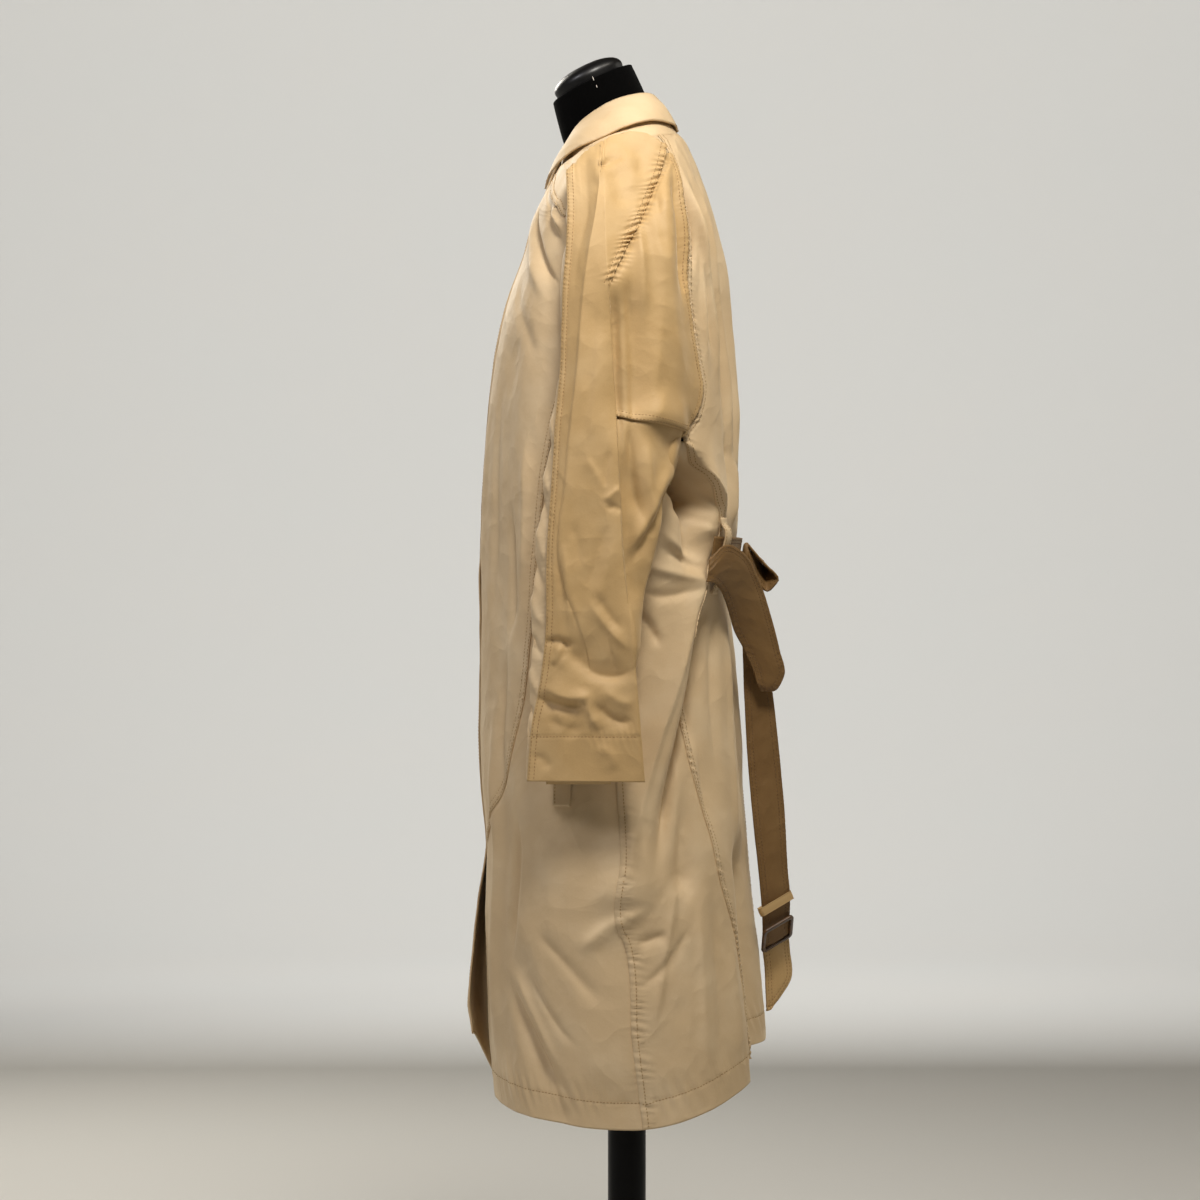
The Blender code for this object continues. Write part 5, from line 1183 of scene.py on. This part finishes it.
def back_lower(scale):
    """Below the elbow seam: from behind the knife edge, round the back fold, to the inner layer."""
    height = odd_heights(CUFF, ARMPIT_FOLD, scale)
    height = np.concatenate((height[:-1], np.linspace(ARMPIT_FOLD, LOWER_TOP, 17)))
    start = sleeve_line("end", height) + np.array(BACK_OFF)
    turn = under_line("back", height)
    inner = inside_line(turn[:, 1] - BACK_INSET, height)
    late = eased((height - 1.055) / 0.0385)[:, None]
    turn = turn * (1 - late) + body_ring(117.0, 1.0740, ARMHOLE_STAND + 0.012) * late
    inner = inner * (1 - late) + body_ring(108.0, 1.0680, ARMHOLE_STAND) * late
    middle = start * 0.5 + turn * 0.5 + np.array((0.005, 0.0, 0.0))
    last = start * 0.12 + turn * 0.88 + np.array((0.004, 0.002, 0.0))
    cells = [2 * int(n / scale) for n in LOWER_CELLS]
    grid = sections((start, 0), (middle, cells[0]), (last, cells[1]), (turn, cells[2]), (inner, cells[3]))
    seam_row, outer = back_upper(scale)[0], sum(cells[:3]) + 1
    at = np.linspace(0.0, 0.93, outer) * (len(seam_row) - 1)
    under = sampled(at, np.arange(len(seam_row)), seam_row)[None] + np.array((-0.0012, 0.0, 0.0055))
    joined = eased((height - 1.000) / 0.075)[:, None, None]
    below = np.stack((0 * height, 0 * height, height - height[-1]), axis=-1)[:, None]
    grid[:, :outer] = grid[:, :outer] * (1 - joined) + (under + below) * joined
    return rounded(grid, 3)


def under_sleeve(scale):
    """The layer next to the body, closing on the armpit above."""
    height = odd_heights(CUFF - 0.004, ARMPIT_FOLD, scale * 1.9)
    front = under_line("front", height)[:, 1] + UNDER_FRONT
    back = under_line("back", height)[:, 1] - UNDER_BACK
    share = np.linspace(0.0, 1.0, 2 * int(18 / scale) + 1)[None, :]
    y = back[:, None] + share * (front - back)[:, None]
    grid = np.stack((SLEEVE_INSIDE + 0 * y, y, np.repeat(height[:, None], y.shape[1], axis=1)), axis=-1)
    armpit = body_ring(106.0 - 12.0 * share[0], np.full(y.shape[1], 1.0675), ARMHOLE_STAND)
    late = eased((height - 1.048) / 0.012)[:, None, None]
    return grid * (1 - late) + armpit * late


def sleeve_lift(grid, side, creases):
    """Creases over the sleeve seen from its side, as a map of (y, z), and handling marks."""
    other = side == "right"
    y, z = grid[..., 1], grid[..., 2]
    return (creased(y, z, creases, vary=0.004 if other else 0.0, seed=9)
            + rumpled(y + grid[..., 0], z, 60 if other else 80, 0.0005))


CUFF_HEM = edge_row("low", "plain", (0.046,), 0.0008, 0.0075, 0.010)
SLEEVE_PIECES = (
    # name maker creases cloth edges
    ("sleeve_top", top_sleeve, SLEEVE_CREASES, sleeve_cloth,
     (edge_row("first", "lap", (0.0018, 0.0070), 0.0004, 0.0046, 0.005),
      edge_row("last", "lap", (0.0018, 0.0066), 0.0018, 0.0072, 0.0065, low=1.222),
      edge_row("top", "plain", (0.003,), 0.0014, 0.0068, 0.030), CUFF_HEM)),
    # The front strip takes the paler body cloth, not the sleeves' khaki: a painted highlight for the front
    # light that falls on it.
    ("sleeve_front", front_strip, FRONT_STRIP_CREASES, coat_cloth,
     (edge_row("last", "under", (), 0.0007, 0.0050, 0.010), edge_row("first"), CUFF_HEM)),
    ("sleeve_back_upper", back_upper, SLEEVE_CREASES, sleeve_cloth,
     (edge_row("first", "under", (), 0.0015, 0.0066, 0.0085, low=1.222),
      edge_row("last", "lap", (0.0016, 0.0062), 0.0003, 0.008, 0.006),
      edge_row("low", "lap", (0.0018, 0.0066), 0.0004, 0.008, 0.006))),
    ("sleeve_back_lower", back_lower, SLEEVE_CREASES, sleeve_cloth,
     (edge_row("first", "under"), edge_row("top", "under", (), 0.0004, 0.008, 0.010), CUFF_HEM)),
    ("sleeve_under", under_sleeve, FRONT_STRIP_CREASES, sleeve_cloth, (CUFF_HEM,)),
)
for side in ("left", "right"):
    for place, (name, maker, creases, cloth, edges) in enumerate(SLEEVE_PIECES):
        base = maker(SLEEVE_CELLS[side])
        sewn(f"{name}_{side}_cloth", base, sleeve_lift(base, side, creases), edges, cloth,
             [f"{name}_{side}"], side, (400 if side == "left" else 600) + 20 * place)


# ---- Collar: a fall over a stand, each cut double, the fall's front ends edge-stitched -----------
# The fall stands a little off the coat, so a thin dark line shows along its lower edge.
COLLAR = (
    # top_x top_y top_z low_x low_y low_z: the left half from its front end to the back centre
    (0.0170, -0.0750, 1.3760, 0.0300, -0.0890, 1.3430),
    (0.0350, -0.0700, 1.3840, 0.0570, -0.0830, 1.3560),
    (0.0465, -0.0535, 1.4095, 0.0840, -0.0570, 1.3785),
    (0.0530, -0.0290, 1.4278, 0.0970, -0.0290, 1.3890),
    (0.0520, -0.0023, 1.4397, 0.0980, -0.0040, 1.4010),
    (0.0400, 0.0190, 1.4449, 0.0860, 0.0230, 1.4100),
    (0.0210, 0.0295, 1.4445, 0.0520, 0.0490, 1.4105),
    (0.0000, 0.0326, 1.4425, 0.0000, 0.0570, 1.4085),
)
COLLAR_CREASES = (
    # rise left right crisp line: (metres along the collar from its front end, metres up the fall)
    (0.0012, 0.010, 0.014, 0.2, ((0.060, 0.004), (0.085, 0.030))),
    (-0.0010, 0.012, 0.008, 0.2, ((0.120, 0.002), (0.135, 0.026), (0.140, 0.040))),
    (0.0010, 0.010, 0.010, 0.2, ((0.165, 0.004), (0.170, 0.034))),
)
COLLAR_THICK = 0.0013
COLLAR_LENGTH, FALL_DEPTH = 0.40, 0.043
FALL_OUT, FALL_UP = 0.004, 0.0025       # how far the fall swells between its fold and its edge
NECK_HALF_WIDTH, NECK_HALF_DEPTH, NECK_MIDDLE = 0.080, 0.063, -0.010    # the neckline as an oval
STAND_DROP, STAND_INSET = 0.0035, 0.0045    # the stand's top edge under the fold, and inside it

half = columns(COLLAR).T
half_top, half_low = resample(half[:, 0:3], 81), resample(half[:, 3:6], 81)
share = np.linspace(0.0, 1.0, 23)[:, None, None]
left_half = half_low[None] + share * (half_top - half_low)[None]
fall = np.concatenate((left_half, left_half[:, -2::-1] * np.array((-1.0, 1.0, 1.0))), axis=1)
roll = np.sin(np.pi * share[:, 0, 0])[:, None]
fall[..., 0] += FALL_OUT * roll * np.clip(fall[..., 0] / 0.02, -1.0, 1.0)
fall[..., 2] += FALL_UP * roll
along = np.linspace(0.0, 1.0, fall.shape[1])[None, :] * COLLAR_LENGTH + 0 * share[:, :, 0]
up = share[:, :, 0] * FALL_DEPTH + 0 * along
sewn("collar_fall_cloth", fall, creased(along, up, COLLAR_CREASES) + rumpled(along, up, 700, 0.0004),
     (edge_row("low", "plain", (), 0.0003, 0.011, 0.008),
      edge_row("first", "plain", (0.0055,), 0.0003, 0.008, 0.006),
      edge_row("last", "plain", (0.0055,), 0.0003, 0.008, 0.006)),
     coat_cloth, ["collar_fall"], thick=COLLAR_THICK)
stand_top = fall[-1] + np.array((0.0, 0.0, -STAND_DROP))
away = stand_top[:, :2] - np.array((0.0, -0.018))
away /= np.linalg.norm(away, axis=1, keepdims=True)
stand_top[:, :2] -= away * STAND_INSET
foot_angle = np.degrees(np.arctan2(stand_top[:, 0] / NECK_HALF_WIDTH,
                                   (NECK_MIDDLE - stand_top[:, 1]) / NECK_HALF_DEPTH))
stand_foot = body_ring(foot_angle, np.full(len(foot_angle), NECKLINE - 0.004), -0.002)
share = np.linspace(0.0, 1.0, 13)[:, None, None]
band = stand_foot[None] + share * (stand_top - stand_foot)[None]
sewn("collar_stand_cloth", band, rumpled(along[:13], up[:13], 720, 0.0002), (), coat_cloth,
     ["collar_stand"], thick=COLLAR_THICK)


# ---- Belt: a doubled strap of the same cloth in painted shade, topstitched along both edges ------
# It crosses the back through a narrow carrier at each side, is tied once, and hangs by one end. A
# folded end sticks out behind the knot; the buckled end's point comes out through the frame.
BELT_DRAPE = (
    # inner_x inner_y inner_z outer_x outer_y outer_z: out of the side seam, over and down behind
    (0.1540, 0.0830, 0.9210, 0.1500, 0.0850, 0.9440),
    (0.1480, 0.0900, 0.9200, 0.1400, 0.1010, 0.9590),
    (0.1330, 0.0980, 0.9130, 0.1200, 0.1200, 0.9530),
    (0.1100, 0.1070, 0.8915, 0.0950, 0.1400, 0.9210),
    (0.0950, 0.1140, 0.8680, 0.0800, 0.1530, 0.8830),
    (0.0840, 0.1250, 0.8470, 0.0710, 0.1620, 0.8490),
    (0.0770, 0.1340, 0.8260, 0.0660, 0.1670, 0.8220),
    (0.0730, 0.1390, 0.8100, 0.0650, 0.1560, 0.8050),
    (0.0680, 0.1420, 0.8060, 0.0590, 0.1500, 0.8060),
    (0.0610, 0.1410, 0.8160, 0.0550, 0.1480, 0.8180),
)
BELT_HANG = (
    # the end that hangs behind the drape, down to the buckle
    (0.0620, 0.1230, 0.8560, 0.0540, 0.1480, 0.8500),
    (0.0620, 0.1255, 0.7950, 0.0530, 0.1560, 0.7950),
    (0.0620, 0.1290, 0.7300, 0.0510, 0.1630, 0.7300),
    (0.0630, 0.1345, 0.6650, 0.0510, 0.1685, 0.6650),
    (0.0650, 0.1400, 0.6150, 0.0510, 0.1710, 0.6150),
    (0.0640, 0.1440, 0.5720, 0.0495, 0.1735, 0.5870),
    (0.0540, 0.1455, 0.5480, 0.0400, 0.1735, 0.5620),
    (0.0430, 0.1460, 0.5300, 0.0290, 0.1735, 0.5450),
)
BELT_TIP = (
    # the pointed end that comes out of the buckle
    (0.0460, 0.1470, 0.5400, 0.0300, 0.1735, 0.5560),
    (0.0390, 0.1470, 0.5220, 0.0240, 0.1740, 0.5380),
    (0.0385, 0.1480, 0.5120, 0.0240, 0.1750, 0.5270),
    (0.0385, 0.1490, 0.4880, 0.0250, 0.1765, 0.4960),
    (0.0385, 0.1500, 0.4720, 0.0290, 0.1670, 0.4800),
    (0.0380, 0.1510, 0.4620, 0.0350, 0.1545, 0.4640),
)
BELT_BOW = (
    # y z: out to the folded end's point and back
    (0.1290, 0.9600), (0.1390, 0.9485), (0.1500, 0.9370), (0.1590, 0.9285), (0.1612, 0.9243),
    (0.1570, 0.9180), (0.1500, 0.9120), (0.1430, 0.9190), (0.1375, 0.9280), (0.1345, 0.9380),
    (0.1320, 0.9480), (0.1300, 0.9560),
)
BOW_WIDTH, BOW_NEAR_X = (-0.036, 0.003, 0.006), 0.040
BOW_CLOSE = 0.93            # how much smaller the folded end is where the knot grips it
BAND_HEIGHT, BAND_MIDDLE, BAND_STAND = 0.040, 0.948, 0.0069
BAND_ANGLES = (137.5, 222.5)            # where the band ends, just past the left and right carriers
CARRIER_ANGLE, CARRIER_WIDTH, CARRIER_STAND = 143.0, 0.010, 0.0018
BAND_RADIUS = 0.13          # round the back, where the carriers are
CARRIER = (
    # height rise: off the cloth, over the band and back
    (0.908, 0.0020), (0.914, 0.0035), (0.920, 0.0085), (0.948, 0.0095), (0.976, 0.0085),
    (0.982, 0.0035), (0.988, 0.0020),
)
KNOT_CENTRE, KNOT_HALF, KNOT_WIDTH = (0.023, 0.1280, 0.9480), (0.0038, 0.0150), 0.034
# The belt's three tones are darker than the coat cloth it is made of: painted shade for the shadow the
# hanging belt sits in.
SHADED_BELT_SAND, SHADED_BELT_DARK, SHADED_BELT_PALE = "#7C5E37", "#6B4F2A", "#8B6D44"
BELT_THICK, BELT_SWELL = 0.0016, 0.0012     # the swell is what the inner layers lift the middle by
BELT_ROWS = (0.0028, 0.0065)    # stitch rows in from each edge

shaded_belt_cloth = gabardine("BeltCottonGabardineDarkenedForShade", SHADED_BELT_SAND, SHADED_BELT_DARK, SHADED_BELT_PALE, 0.6, 0.15)
belt_thread = sewing_thread("BrownThread", "#6A4E2C")


def ribbon(rows, count, across):
    """A strap between its two long edges, which are smooth curves through the rows."""
    edges = resample(rows, count)
    share = np.linspace(0.0, 1.0, across)[None, :, None]
    return edges[:, None, 0:3] + share * (edges[:, None, 3:6] - edges[:, None, 0:3])


def both_edges(low, high, *settings):
    """The same plain sewing on two edges."""
    return edge_row(low, "plain", *settings), edge_row(high, "plain", *settings)


def belt_piece(name, base, stands_for, seed, cloth=shaded_belt_cloth, thread=belt_thread, ends=()):
    """A belt piece: edge-stitched on both long sides, its middle swelling a little."""
    share = np.linspace(0.0, 1.0, base.shape[1])[None, :]
    run = np.linalg.norm(np.diff(base[:, 0], axis=0), axis=1).sum()
    length = np.linspace(0.0, run, len(base))[:, None]
    marks = rumpled(share * BAND_HEIGHT + 0 * length, length + 0 * share, seed)
    sewn(name, base, BELT_SWELL * np.sin(np.pi * share) + marks,
         both_edges("first", "last", BELT_ROWS, 0.00035, 0.006, 0.006) + ends, cloth,
         stands_for, "left", seed, BELT_THICK, thread)


belt_piece("belt_drape_cloth", ribbon(BELT_DRAPE[::-1], 121, 25), ["belt_drape"], 801)
belt_piece("belt_end_buckled_cloth", ribbon(BELT_HANG[::-1], 141, 17), ["belt_end_buckled"], 811)
# The pointed end is in the sleeves' paler khaki, nearer the belt's own colour, while the other belt pieces
# carry painted shade.
belt_piece("belt_end_pointed_cloth", ribbon(BELT_TIP[::-1], 41, 19), ["belt_end_pointed"], 821, sleeve_cloth,
           sand_thread, (edge_row("low", at=(0.004,)),))
path = resample(BELT_BOW, 61)
near = np.column_stack((np.full(len(path), BOW_NEAR_X), path))
far = near + np.array(BOW_WIDTH) - BOW_CLOSE * (near - near.mean(axis=0))
share = np.linspace(0.0, 1.0, 21)[None, :, None]
belt_piece("belt_bow_cloth", near[:, None] + share * (far - near)[:, None], ["belt_bow"], 831)
angle = np.linspace(*BAND_ANGLES, 121)
height = np.linspace(BAND_MIDDLE - BAND_HEIGHT / 2, BAND_MIDDLE + BAND_HEIGHT / 2, 21)[:, None]
angle, height = angle[None] + 0 * height, height + 0 * angle[None]
band_lift = ring_lift(np.where(angle > 180, 360 - angle, angle), height)
belt_band = body_ring(angle, height, band_lift + BAND_STAND)
sewn("belt_band_cloth", belt_band, rumpled(angle * ARC, height, 841, 0.0005),
     both_edges("low", "top", BELT_ROWS, 0.0004, 0.006, 0.006), shaded_belt_cloth, ["belt_band"],
     "left", 841, BELT_THICK, belt_thread)

for side in ("left", "right"):
    rise = resample(CARRIER, 41)
    half = np.degrees(CARRIER_WIDTH / 2 / BAND_RADIUS)
    angle = CARRIER_ANGLE + np.linspace(-half, half, 9)[None, :] + 0 * rise[:, :1]
    height = rise[:, :1] + 0 * angle
    loop = body_ring(angle, height, ring_lift(angle, height) + rise[:, 1:] + CARRIER_STAND)
    sewn(f"belt_carrier_{side}_cloth", loop, rumpled(angle * ARC, height, 861, 0.0002),
         both_edges("first", "last", (0.0016,)), coat_cloth, [f"belt_carrier_{side}"],
         side, 861)


# ---- Knot: the belt's layers wrapped once round the band and pulled tight ------------------------
# The wraps show as soft ridges that run over the pad and sink between each other.
KNOT_WRAPS = 3
KNOT_SQUARE = 0.75          # 1 is an ellipse, less is squarer

turn = np.linspace(0, 2 * np.pi, 72, endpoint=False)
along = np.linspace(-1.0, 1.0, 61)
soft_end = np.sqrt(np.clip(1.0 - np.clip((np.abs(along) - 0.72) / 0.28, 0.0, 0.995) ** 2, 0.0, 1.0))
wraps = np.pi * KNOT_WRAPS * (along[:, None] * 0.5 + 0.5) + 0.5 * np.cos(turn)
ridges = 1.0 + 0.10 * np.abs(np.sin(wraps)) - 0.08
size = soft_end[:, None] * ridges + 0.02
knot_rings = np.stack((
    KNOT_CENTRE[0] + along[:, None] * KNOT_WIDTH / 2 + 0 * turn,
    KNOT_CENTRE[1] + KNOT_HALF[0] * size * squared(np.cos(turn), KNOT_SQUARE),
    KNOT_CENTRE[2] + KNOT_HALF[1] * size * squared(np.sin(turn), KNOT_SQUARE)), axis=-1)
lofted("belt_knot_cloth", knot_rings, shaded_belt_cloth, ["belt_knot"])


# ---- Buckle: a rectangular frame of dark horn-like resin, with rounded edges ---------------------
# It is cut from sheet, tumbled and polished; streaks run through it. A cloth keeper holds the strap.
BUCKLE_CENTRE = (0.045, 0.1605, 0.5455)
BUCKLE_ACROSS = (-0.45, 0.79, 0.42)     # from one side of the belt to the other
BUCKLE_DOWN = (-0.70, -0.02, -0.71)     # down the belt
BUCKLE_WIDTH, BUCKLE_HEIGHT, BUCKLE_WIRE, BUCKLE_DEPTH = 0.042, 0.036, 0.0045, 0.0036
WIRE_SQUARE = 0.6           # how square the wire's section is, as for the knot
KEEPER_CENTRE, KEEPER_DOWN = (0.0580, 0.1580, 0.5790), (0.04, 0.02, -1.0)
KEEPER_HALF = (0.0220, 0.0038)          # across the strap, and out of its face
KEEPER_WIDTH, KEEPER_CLOTH = 0.009, 0.0015
KEEPER_PROFILE = (
    # depth share_of_width: two stitched grooves, near the loop's edges
    (0.0, -0.5), (0.0004, -0.46), (0.0002, -0.35), (0.0, 0.0), (0.0002, 0.35), (0.0004, 0.46), (0.0, 0.5),
)
HORN_DARK, HORN_STREAK = "#35200F", "#6A4724"


def horn():
    """Horn-like resin: dark, cloudy streaks along the piece under a tumbled polish."""
    material, tree, shader = new_material("BrownHornResin", Roughness=0.32, IOR=1.54, Coat_Weight=0.3,
                                          Coat_Roughness=0.2)
    place = node(tree, "ShaderNodeTexCoord").outputs["Object"]
    drawn = node(tree, "ShaderNodeMapping", {"Vector": place, "Scale": (1.0, 0.25, 1.0)})
    streaks = noise(tree, drawn.outputs["Vector"], 0.004, 5.0, 0.6)
    spread = node(tree, "ShaderNodeMapRange", {"Value": streaks.outputs["Fac"], "From Min": 0.4,
                                               "From Max": 0.7})
    tree.links.new(dyed_between(tree, spread.outputs["Result"], HORN_DARK, HORN_STREAK),
                   shader.inputs["Base Color"])
    return material


def unit(vector):
    """The vector at length 1."""
    vector = np.array(vector, dtype=float)
    return vector / np.linalg.norm(vector)


def rounded_path(half_a, half_b, corner, count=96):
    """Points round a rectangle with rounded corners, at even turns of each corner's arc."""
    turn = np.linspace(0, 2 * np.pi, count, endpoint=False) + np.pi / count
    a, b = np.cos(turn), np.sin(turn)
    return np.column_stack((np.sign(a) * (half_a - corner) + a * corner,
                            np.sign(b) * (half_b - corner) + b * corner))


def hoop(name, centre, a, b, out, sections, material, stands_for):
    """A closed ring: each section row (half_a, half_b, corner, level) is one path round the opening.

    The faces join each path to the next, and the last to the first.
    """
    paths = np.array([np.array(centre) + path[:, :1] * a + path[:, 1:] * b + level * out
                      for path, level in ((rounded_path(*row[:3]), row[3]) for row in sections)])
    index = np.arange(paths.shape[0] * paths.shape[1]).reshape(paths.shape[:2])
    after, right = np.roll(index, -1, 0), np.roll(index, -1, 1)
    faces = np.stack((index, right, np.roll(after, -1, 1), after), axis=-1).reshape(-1, 4)
    return mesh_piece(name, paths.reshape(-1, 3), faces.tolist(), material, stands_for)


across, down = unit(BUCKLE_ACROSS), unit(BUCKLE_DOWN)
face = np.cross(across, down)
round_it = np.radians(np.linspace(0, 360, 20, endpoint=False) + 9.0)
wire = [(BUCKLE_WIDTH / 2 - BUCKLE_WIRE / 2 * (1 - squared(np.cos(t), WIRE_SQUARE)),
         BUCKLE_HEIGHT / 2 - BUCKLE_WIRE / 2 * (1 - squared(np.cos(t), WIRE_SQUARE)),
         0.0040 + 0.0020 * np.cos(t),
         BUCKLE_DEPTH / 2 * squared(np.sin(t), WIRE_SQUARE)) for t in round_it]
hoop("belt_buckle_frame", BUCKLE_CENTRE, across, down, face, wire[::-1], horn(), ["belt_buckle"])
strap_down = unit(np.array(KEEPER_DOWN) - across * np.dot(KEEPER_DOWN, across))
strap_out = np.cross(across, strap_down)
half_a, half_b = KEEPER_HALF
keeper_corner = min(KEEPER_HALF) * 0.95
outer_rows = [(half_a - depth + 0.0003, half_b - depth + 0.0003, keeper_corner, level * KEEPER_WIDTH)
              for depth, level in KEEPER_PROFILE]
inner_rows = [(half_a - KEEPER_CLOTH, half_b - KEEPER_CLOTH, keeper_corner - KEEPER_CLOTH,
               level * KEEPER_WIDTH) for level in (0.5, 0.0, -0.5)]
hoop("belt_keeper_cloth", KEEPER_CENTRE, across, strap_out, strap_down, outer_rows + inner_rows,
     sleeve_cloth, ["belt_keeper"])


# ---- Room: a plain pale floor and backdrop, soft lamps and the camera ----------------------------
FLOOR_PALE, WALL_PALE = "#D8D6D1", "#D6D6D2"
FLOOR_RADIUS, CURVE_RADIUS = 5.5, 4.5
CAMERA_AT, CAMERA_LENS, SENSOR = (4.1, -0.029, 0.902), 113.9, 36.0
LAMPS = (
    # name place aim size power colour
    ("key", (1.00, 0.15, 2.30), (0.1, 0.0, 1.05), 0.35, 23.0, "#FFFAF2"),
    ("front", (1.7, -1.9, 2.8), (0.0, 0.0, 1.10), 0.6, 29.0, "#F6F4FA"),
    ("back", (0.7, 1.0, 2.9), (0.0, 0.05, 1.40), 0.5, 13.0, "#FFF6E8"),
    ("far", (-2.6, -1.6, 2.4), (0.0, 0.0, 0.9), 1.2, 60.0, "#FBF6EC"),
    ("rear", (-1.4, 2.8, 2.4), (0.0, 0.0, 0.9), 1.2, 8.0, "#FBF6EC"),
    ("wash", (-2.6, 0.0, 3.6), (-8.5, 0.0, 4.6), 2.5, 430.0, "#FFFFFF"),
    ("wash_front", (0.0, -2.6, 3.6), (0.0, -8.5, 4.6), 2.5, 130.0, "#FFFFFF"),
    ("wash_back", (0.0, 2.6, 3.6), (0.0, 8.5, 4.6), 2.5, 130.0, "#FFFFFF"),
)
ROOM_LIGHT, ROOM_TINT = 0.05, "#F4DDB8"


def room():
    """The floor and the backdrop as one bowl about the upright axis, curved where they meet."""
    bend = np.radians(np.linspace(0, 85, 33))
    radius = np.concatenate(([0.001, 1.5, 3.5], FLOOR_RADIUS + CURVE_RADIUS * np.sin(bend)))
    height = np.concatenate(([0.0, 0.0, 0.0], CURVE_RADIUS * (1 - np.cos(bend))))
    turn = np.linspace(0, 2 * np.pi, 96, endpoint=False)
    grid = np.stack((radius[:, None] * np.cos(turn), radius[:, None] * np.sin(turn),
                     height[:, None] + 0 * turn), axis=-1)
    index = np.arange(grid.shape[0] * 96).reshape(-1, 96)
    faces = np.stack((index[:-1], np.roll(index[:-1], -1, 1), np.roll(index[1:], -1, 1), index[1:]),
                     axis=-1).reshape(-1, 4)[:, ::-1]
    mesh = bpy.data.meshes.new("room_sheet")
    mesh.from_pydata(grid.reshape(-1, 3).tolist(), [], faces.tolist())
    material, tree, shader = new_material("PaleMattePaint", Roughness=0.9, Specular_IOR_Level=0.2)
    place = node(tree, "ShaderNodeTexCoord").outputs["Object"]
    mottle = noise(tree, place, 0.5, 3.0)
    tree.links.new(dyed_between(tree, mottle.outputs["Fac"], FLOOR_PALE, WALL_PALE),
                   shader.inputs["Base Color"])
    mesh.materials.append(material)
    mesh.shade_smooth()
    sheet = bpy.data.objects.new("room_sheet", mesh)
    bpy.context.collection.objects.link(sheet)


def aimed(thing, place, aim):
    """Put a lamp or camera at a place and turn its -Z to the aim, +Y up."""
    back = unit(np.array(place) - np.array(aim))
    right = unit(np.cross((0.0, 0.0, 1.0), back))
    up = np.cross(back, right)
    matrix = np.eye(4)
    matrix[:3, :3] = np.stack((right, up, back), axis=1)
    matrix[:3, 3] = place
    thing.matrix_world = [list(row) for row in matrix.T]
    bpy.context.collection.objects.link(thing)


room()
for name, place, aim, size, power, colour in LAMPS:
    lamp = bpy.data.lights.new(name, "AREA")
    lamp.size, lamp.energy, lamp.color = size, power, linear(colour)[:3]
    aimed(bpy.data.objects.new(name, lamp), place, aim)
scene = bpy.context.scene
world = bpy.data.worlds.new("soft_room")
world.use_nodes = True
background = world.node_tree.nodes["Background"]
background.inputs["Color"].default_value = linear(ROOM_TINT)
background.inputs["Strength"].default_value = ROOM_LIGHT
camera = bpy.data.cameras.new("camera")
camera.lens, camera.sensor_width = CAMERA_LENS, SENSOR
scene.world = world
scene.camera = bpy.data.objects.new("camera", camera)
aimed(scene.camera, CAMERA_AT, (0.0, CAMERA_AT[1], CAMERA_AT[2]))
scene.view_settings.view_transform = "Standard"
